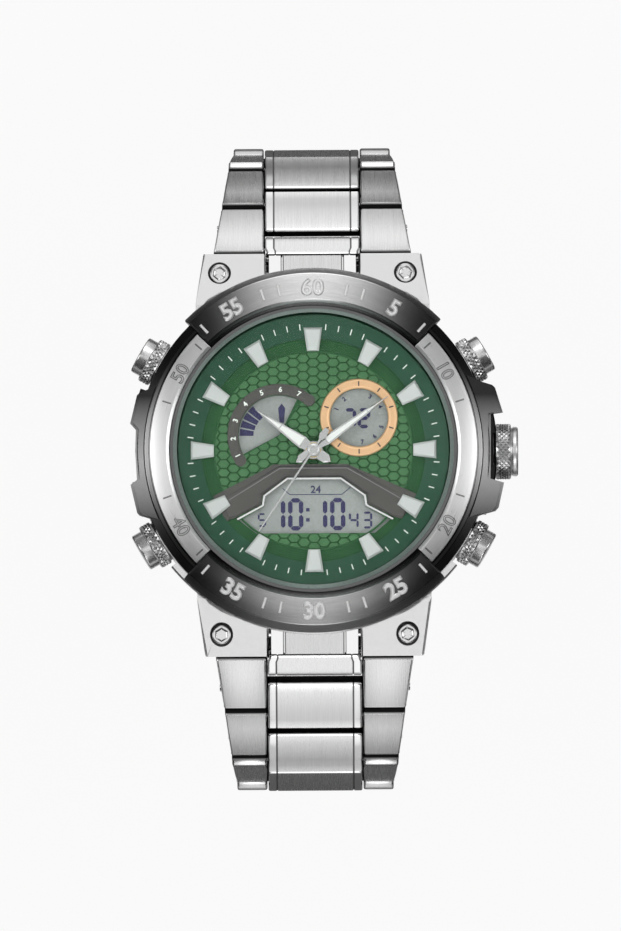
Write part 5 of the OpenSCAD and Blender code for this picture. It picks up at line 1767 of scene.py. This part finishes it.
def make_frame_crease():
    """A dark line at the foot of the frame's step as painted shade, two more dark lines on its top near
    the main window, and a fine bright one along its crest as a painted highlight.
    """
    skin = Skin()
    foot = [(-11.3, -6.25), (-4.42, -2.02), (4.42, -2.02), (11.7, -6.25)]
    crest = [(-11.1, -6.5), (-4.2, -2.26), (4.2, -2.26), (11.5, -6.5)]
    stroke(skin, foot, 0.13, Z_DIAL + 0.25, Z_DIAL + 0.27)
    stroke(skin, [(-3.5, -3.28), (3.6, -3.28), (6.95, -5.55)], 0.1, Z_DIAL + 0.39, Z_DIAL + 0.42)
    stroke(skin, [(-3.5, -3.28), (-6.75, -5.55)], 0.1, Z_DIAL + 0.39, Z_DIAL + 0.42)
    make_piece("frame_crease_shade", skin, "case", print_black, smooth=0)
    edge = Skin()
    stroke(edge, crest, 0.07, Z_DIAL + 0.38, Z_DIAL + 0.415)
    return make_piece("frame_crest_highlight", edge, "case", smoke_highlight, smooth=0)


def make_ring_marks():
    """Black strokes on the gold ring and white numbers 1 to 7 on the grey arc."""
    black, white = Skin(), Skin()
    for k in range(10):
        a = math.radians(90 + 36 * k)
        ray = np.array([math.cos(a), math.sin(a)])
        stroke(black, [GOLD + ray * 3.95, GOLD + ray * 4.55], 0.15, Z_DIAL + 0.2, Z_DIAL + 0.31)
    make_piece("gold_ring_strokes", black, "case", print_black, smooth=0)
    for k, deg in enumerate((206, 184, 161, 137, 112, 88, 64)):
        a = math.radians(deg)
        centre = (DAY[0] + 5.76 * math.cos(a), DAY[1] + 5.76 * math.sin(a), Z_DIAL + 0.352)
        up = (math.cos(a), math.sin(a), 0)
        put_number(white, str(k + 1), 0.62, 0.004, centre, (up[1], -up[0], 0), up)
    return make_piece("day_numbers", white, "case", print_white, smooth=0)


make_main_readout()
make_day_readout()
make_gold_readout()
make_ring_marks()
make_frame_crease()
print("readouts: three displays, ring marks, frame lines")

# %% [markdown]
# ## Hands
# Each hand is a long bar whose width follows a row of stations from its tail to its point. Its
# section is flat on top with two bevelled flanks, and the flank towards 6 o'clock is painted dark as
# painted shade. White inlays lie in its broad part.

# %% Hands
HOUR_DEG = -54.8
MINUTE_DEG = 54.5


def hand_grid(stations, thickness, plateau=0.55):
    """Rows of (distance, half width) carried by a section of 7 points, closed underneath."""
    s = np.array(stations, float)
    across = np.array([-1, -1, -plateau, 0, plateau, 1, 1, -1])
    level = np.array([0, 0.42, 1, 1.03, 1, 0.42, 0, 0]) * thickness
    return np.stack(np.broadcast_arrays(s[:, 1:] * across, s[:, :1], level[None]), axis=-1)


def turned(points, clock_deg, level):
    """Turns points drawn along +Y clockwise about the dial's axis and lifts them, mm to metres."""
    a = math.radians(-clock_deg)
    x = points[..., 0] * math.cos(a) - points[..., 1] * math.sin(a)
    y = points[..., 0] * math.sin(a) + points[..., 1] * math.cos(a)
    return np.stack([x * mm, y * mm, points[..., 2] * mm + level], axis=-1)


def hand_plate(skin, stations, clock_deg, level, y, margin, low, high, slot=0):
    """A flat plate inside a hand's outline, margin narrower on each side, through distances y."""
    y = np.array(y, float)
    half = np.interp(y, [st[0] for st in stations], [st[1] for st in stations]) - margin
    half = np.maximum(half, 0.015)
    outline = np.concatenate([np.column_stack([half, y]), np.column_stack([-half, y])[::-1]])
    points, faces = plate(outline, low, high)
    skin.blocks(turned(points, clock_deg, level)[None], faces, slot)


def make_hand(node, clock_deg, level, stations, hub_r, cross):
    """Body with a low hub, and two inlays that a bar at the distance cross parts."""
    skin = Skin()
    body = turned(hand_grid(stations, 0.2), clock_deg, level)
    # The flank towards 6 o'clock takes the painted shade of slot 1.
    shaded = (slice(0, 3), slice(2, 8)) if clock_deg < 0 else (slice(4, 7), slice(0, 5))
    skin.sheet(body[:, shaded[0]], slot=1)
    skin.sheet(body[:, shaded[1]])
    if clock_deg > 0:
        skin.sheet(body[:, 6:8])
    for row in (0, -1):
        skin.add(body[row, :-1], [[k + skin.count for k in range(7)]])
    hub = [(0.0, 0.01), (hub_r, 0.01), (hub_r, 0.1), (hub_r - 0.08, 0.16), (0.0, 0.16)]
    skin.sheet(turned(revolved(hub, 48), clock_deg, level))
    make_piece(node + "_faceted", skin, node, [hand_steel, hand_shade], [node])
    start = max(stations, key=lambda st: st[1])[0] + 0.1
    tip = stations[-2][0] - 0.4
    inlay = Skin()
    for y0, y1 in ((start, cross), (cross + 0.22, tip)):
        y = np.linspace(y0, y1, 5)
        wide = np.concatenate([[y0 - 0.05], y, [y1 + 0.05]])
        hand_plate(inlay, stations, clock_deg, level, wide, 0.2, 0.17, 0.212, 1)
        hand_plate(inlay, stations, clock_deg, level, y, 0.25, 0.17, 0.222, 0)
    make_piece(node + "_inlay", inlay, node, [lume, inlay_line], smooth=0)


HOUR_STATIONS = [
    (-2.6, 0.05), (-2.3, 0.42), (-1.9, 0.6), (-1.2, 0.64), (0, 0.56), (1.2, 0.66), (1.7, 0.8),
    (5.0, 0.47), (8.5, 0.1), (8.9, 0.015),
]
MINUTE_STATIONS = [
    (-2.7, 0.05), (-2.4, 0.36), (-2.0, 0.52), (-1.3, 0.54), (0, 0.38), (1.3, 0.4), (2.0, 0.58),
    (8.3, 0.31), (11.1, 0.08), (11.5, 0.015),
]
make_hand("hour_hand", HOUR_DEG, hour_z, HOUR_STATIONS, 1.12, 4.95)
make_hand("minute_hand", MINUTE_DEG, minute_z, MINUTE_STATIONS, 0.86, 8.2)


def make_cap():
    """The cap on the second hand's boss, with its rim and its pit painted dark as painted shade."""
    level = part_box("second_hand")[1].z / mm - 0.03
    skin = Skin()
    face = [(0.62, 0.07), (0.58, 0.1), (0.34, 0.11)]
    rim = [(0.0, 0.0), (0.78, 0.0), (0.78, 0.05), (0.62, 0.07)]
    pit = [(0.34, 0.11), (0.31, 0.05), (0.0, 0.05)]
    for slot, profile in ((0, face), (1, rim), (1, pit)):
        skin.sheet(turned(revolved(profile, 48), 0, level * mm), slot=slot)
    return make_piece("hand_cap", skin, "second_hand", [hand_steel, hand_shade])


make_cap()
print("hands: faceted, with inlays and a cap")

# %% [markdown]
# ## Softened copies of CAD nodes
# The case, the end links, the guards and the clasp have the right shape already, but their edges
# are knife sharp. A copy is welded, its flat faces are joined, and a Bevel modifier rounds each edge
# by a tenth of a millimetre or so. The copy stands for its node. On the case only the lugs' upper
# edges are rounded, and a bevel weight marks them.

# %% Softened copies
SOFT_ANGLE = 30
RECESSES_DEG = ((41, 69.8), (110.6, 129), (231, 249.4), (260.4, 281), (290.2, 319))


def recessed_rim(mesh):
    """Cuts the case's rim back to the bezel's edge between the bridges and the guards, where the
    pushers' collars stand out of it, and in the left guard's recess."""
    work = bpy.data.objects.new("case_work", mesh)
    bpy.context.scene.collection.objects.link(work)
    skin = Skin()
    for from_deg, to_deg in RECESSES_DEG:
        turn = np.linspace(from_deg, to_deg, 24)
        inner, outer = on_ring(22.1, 0, turn) / mm, on_ring(26, 0, turn) / mm
        outline = np.concatenate([inner[:, :2], outer[::-1, :2]])
        prism(skin, outline[::-1], -1, Z_CASE + 2)
    cutter = loose_object("rim_cutter", skin)
    turn_outwards(cutter.data)
    cut(work, cutter)
    result = work.data
    bpy.data.objects.remove(work)
    return result


def mark_lug_edges(mesh):
    """Gives full bevel weight to the edges round the lugs' upper faces, but not to the screw bores."""
    work = bmesh.new()
    work.from_mesh(mesh)
    weight = work.edges.layers.float.new("bevel_weight_edge")
    for edge in work.edges:
        x, y, z = [abs(v) / mm for v in (edge.verts[0].co + edge.verts[1].co) / 2]
        in_bore = math.hypot(x - SCREW[0], y - SCREW[1]) < 1.7
        if in_bore or y < 18.6 or x < 5.7 or len(edge.link_faces) != 2:
            continue
        up = max(abs(f.normal.z) for f in edge.link_faces)
        if 0.7 < up < 0.85 and edge.calc_face_angle(0) > math.radians(50) and z > 1.5:
            edge[weight] = 1.0
    work.to_mesh(mesh)
    work.free()


def softened(node, width, material):
    """A welded copy of a node, with a Bevel modifier on its sharp edges or on the marked ones."""
    work = bmesh.new()
    work.from_mesh(nodes[node].data)
    bmesh.ops.remove_doubles(work, verts=work.verts, dist=2e-6)
    bmesh.ops.dissolve_degenerate(work, edges=work.edges, dist=1e-6)
    bmesh.ops.dissolve_limit(work, angle_limit=math.radians(0.5), verts=work.verts, edges=work.edges)
    mesh = bpy.data.meshes.new(node + "_soft")
    work.to_mesh(mesh)
    work.free()
    if "custom_normal" in mesh.attributes:
        mesh.attributes.remove(mesh.attributes["custom_normal"])
    if node == "case_middle":
        mesh = recessed_rim(mesh)
    body = nodes[node]["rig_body"]
    obj = place_piece(node + "_soft", mesh, body, material, [node], smooth=SOFT_ANGLE)
    bevel = obj.modifiers.new("edges", "BEVEL")
    bevel.width = width * mm
    bevel.harden_normals = True
    if node == "case_middle":
        mark_lug_edges(mesh)
        bevel.segments = 3
        bevel.limit_method = "WEIGHT"
        bevel.use_clamp_overlap = False
        return obj
    bevel.segments = 2
    bevel.limit_method = "ANGLE"
    bevel.angle_limit = math.radians(SOFT_ANGLE)
    bevel.miter_outer = "MITER_ARC"
    return obj


SOFT_NODES = {
    "case_middle": (0.3, case_steel),
    "case_back": (0.1, case_steel),
    "end_links": (0.14, end_link_steel),
    "crown_guards": (0.2, guard_plating),
    "bridge_frame": (0.07, smoke_coat),
    "day_ring": (0.1, smoke_coat),
    "bezel_base": (0.08, base_plating),
    "gold_ring": (0.04, gold_coat),
    "lcd_trim": (0.05, screw_steel),
    "clasp_cover": (0.12, clasp_steel),
    "clasp_inner_blade": (0.1, clasp_steel),
    "clasp_middle_blade": (0.1, clasp_steel),
}
for name, (width, material) in SOFT_NODES.items():
    softened(name, width, material)
print("softened:", ", ".join(SOFT_NODES))

# %% [markdown]
# ## Floor, light and studio
# The floor and the world are white to the camera, and to rays that come off metal or through glass.
# Four soft boxes stand round the watch. Grey and dark boards between them show only in the metal,
# which is how a studio gives polished steel its dark lines. Low strips at both ends do the same for
# the sloping links: each link's far half mirrors one of them, and its near half mirrors the white.
# Two low boards stand at the sides.
# The open clasp swings 28.4 mm below the closed bracelet, so the floor lies a little lower than
# that, and no pose goes through it. From below, the camera looks through it at the case back.

# %% Stage
CLASP_DROP = 28.6 * mm
FLOOR_HALF = 1.6
LIGHT_DISTANCE = 0.75
BOARD_DISTANCE = 0.7


def add_floor():
    """A large pale sheet under the watch, as a grid with a gentle upward roll at its rim. It glows
    towards the camera alone, so that it comes out nearly white, and its back is clear to it."""
    t = np.linspace(-1, 1, 25)
    x, y = np.meshgrid(t, t)
    rise = 0.02 * np.maximum(np.hypot(x, y) - 0.9, 0)
    grid = np.stack([x * FLOOR_HALF, y * FLOOR_HALF, floor_z - CLASP_DROP + rise], axis=-1)
    mesh = bpy.data.meshes.new("floor")
    mesh.from_pydata(grid.reshape(-1, 3).tolist(), [], quads(25, 25).tolist())
    obj = bpy.data.objects.new("floor", mesh)
    bpy.context.scene.collection.objects.link(obj)
    finish = Finish("floor_paper", Roughness=0.9)
    marks = finish.group(marks_group, {"Vector": finish.place, "Scale": 0.02})
    finish.set("Base Color", finish.mix(marks["Cloud"], grey(0.93), grey(0.95)))
    seen = finish.add("ShaderNodeLightPath").outputs["Is Camera Ray"]
    glow = finish.add("ShaderNodeEmission", {"Color": grey(1.0), "Strength": 1.0})
    share = finish.math("MULTIPLY", seen, 0.88)
    plain = finish.shader.outputs[0]
    paper = finish.add("ShaderNodeMixShader", {0: share, 1: plain, 2: glow.outputs[0]})
    back = finish.add("ShaderNodeNewGeometry").outputs["Backfacing"]
    from_below = finish.math("MULTIPLY", seen, back)
    clear = finish.add("ShaderNodeBsdfTransparent")
    sheet = finish.add("ShaderNodeMixShader", {0: from_below, 1: paper.outputs[0], 2: clear.outputs[0]})
    finish.put(finish.tree.nodes["Material Output"].inputs["Surface"], sheet.outputs[0])
    mesh.materials.append(finish.material)
    return obj


def add_world(ambient):
    """White for camera, glossy and transmission rays. Other rays meet a plain ambient level."""
    world = bpy.data.worlds.new("studio")
    bpy.context.scene.world = world
    world.use_nodes = True
    net = Network(world.node_tree)
    path = net.add("ShaderNodeLightPath").outputs
    seen = net.math("MAXIMUM", path["Is Camera Ray"], path["Is Glossy Ray"])
    seen = net.math("MAXIMUM", seen, path["Is Transmission Ray"])
    background = world.node_tree.nodes["Background"]
    net.put(background.inputs["Color"], grey(1.0))
    net.put(background.inputs["Strength"], net.blend(seen, ambient, 1.0))


def direction(azimuth, polar):
    """A unit vector: azimuth anticlockwise from +X, polar angle from straight up, in degrees."""
    a, p = math.radians(azimuth), math.radians(polar)
    return Vector((math.cos(a) * math.sin(p), math.sin(a) * math.sin(p), math.cos(p)))


def add_softbox(name, azimuth, polar, size, power):
    """A rectangular area lamp that faces the watch from a direction."""
    data = bpy.data.lights.new(name, "AREA")
    data.shape = "RECTANGLE"
    data.size, data.size_y = size
    data.energy = power
    obj = bpy.data.objects.new(name, data)
    bpy.context.scene.collection.objects.link(obj)
    ray = direction(azimuth, polar)
    obj.location = ray * LIGHT_DISTANCE
    obj.rotation_euler = ray.to_track_quat("Z", "Y").to_euler()
    return obj


def hide_board(name, grid, level):
    """A grey or dark sheet from a grid of points, seen only in glossy reflections."""
    rows, columns = grid.shape[:2]
    mesh = bpy.data.meshes.new(name)
    mesh.from_pydata(grid.reshape(-1, 3).tolist(), [], quads(rows, columns).tolist())
    obj = bpy.data.objects.new(name, mesh)
    bpy.context.scene.collection.objects.link(obj)
    finish = Finish(name, Roughness=1.0)
    finish.set("Base Color", grey(level))
    mesh.materials.append(finish.material)
    obj.visible_camera = False
    obj.visible_diffuse = False
    obj.visible_shadow = False
    obj.visible_transmission = False
    return obj


def add_board(name, azimuth, spread, polar_from, polar_to, level):
    """A board on a sphere round the watch, between two angles from straight up."""
    a = np.radians(np.linspace(azimuth - spread, azimuth + spread, 9))
    p = np.radians(np.linspace(polar_from, polar_to, 7))
    aa, pp = np.meshgrid(a, p)
    ray = np.stack([np.cos(aa) * np.sin(pp), np.sin(aa) * np.sin(pp), np.cos(pp)], axis=-1)
    return hide_board(name, ray * BOARD_DISTANCE, level)


def add_strip(name, y_range, x_range, level):
    """A flat board at the closed bracelet's foot, between two lines each way, in millimetres."""
    x, y = np.meshgrid(np.array(x_range) * mm, np.array(y_range) * mm)
    return hide_board(name, np.stack([x, y, 0 * x + floor_z + mm], axis=-1), level)


add_floor()
add_world(0.45)
for label, azimuth in (("right", 0), ("back", 90), ("left", 180), ("front", 270)):
    add_softbox("softbox_" + label, azimuth, 48, (0.42, 0.3), 0.62)
for azimuth in (45, 135):
    add_board(f"grey_board_{azimuth}", azimuth, 24, 13, 92, 0.3)
for azimuth in (225, 315):
    add_board(f"dark_board_{azimuth}", azimuth, 34, 13, 92, 0.05)
for azimuth in (0, 180):
    add_board(f"low_board_{azimuth}", azimuth, 24, 64, 93, 0.03)
for label, sign in (("back", 1), ("front", -1)):
    add_strip("strip_" + label, (44 * sign, 112 * sign), (-160, 160), 0.15)
    add_strip("far_strip_" + label, (112 * sign, 165 * sign), (-200, 200), 0.3)
for label, sign in (("right", 1), ("left", -1)):
    add_strip("strip_" + label, (-40, 40), (40 * sign, 160 * sign), 0.04)
print("stage set")
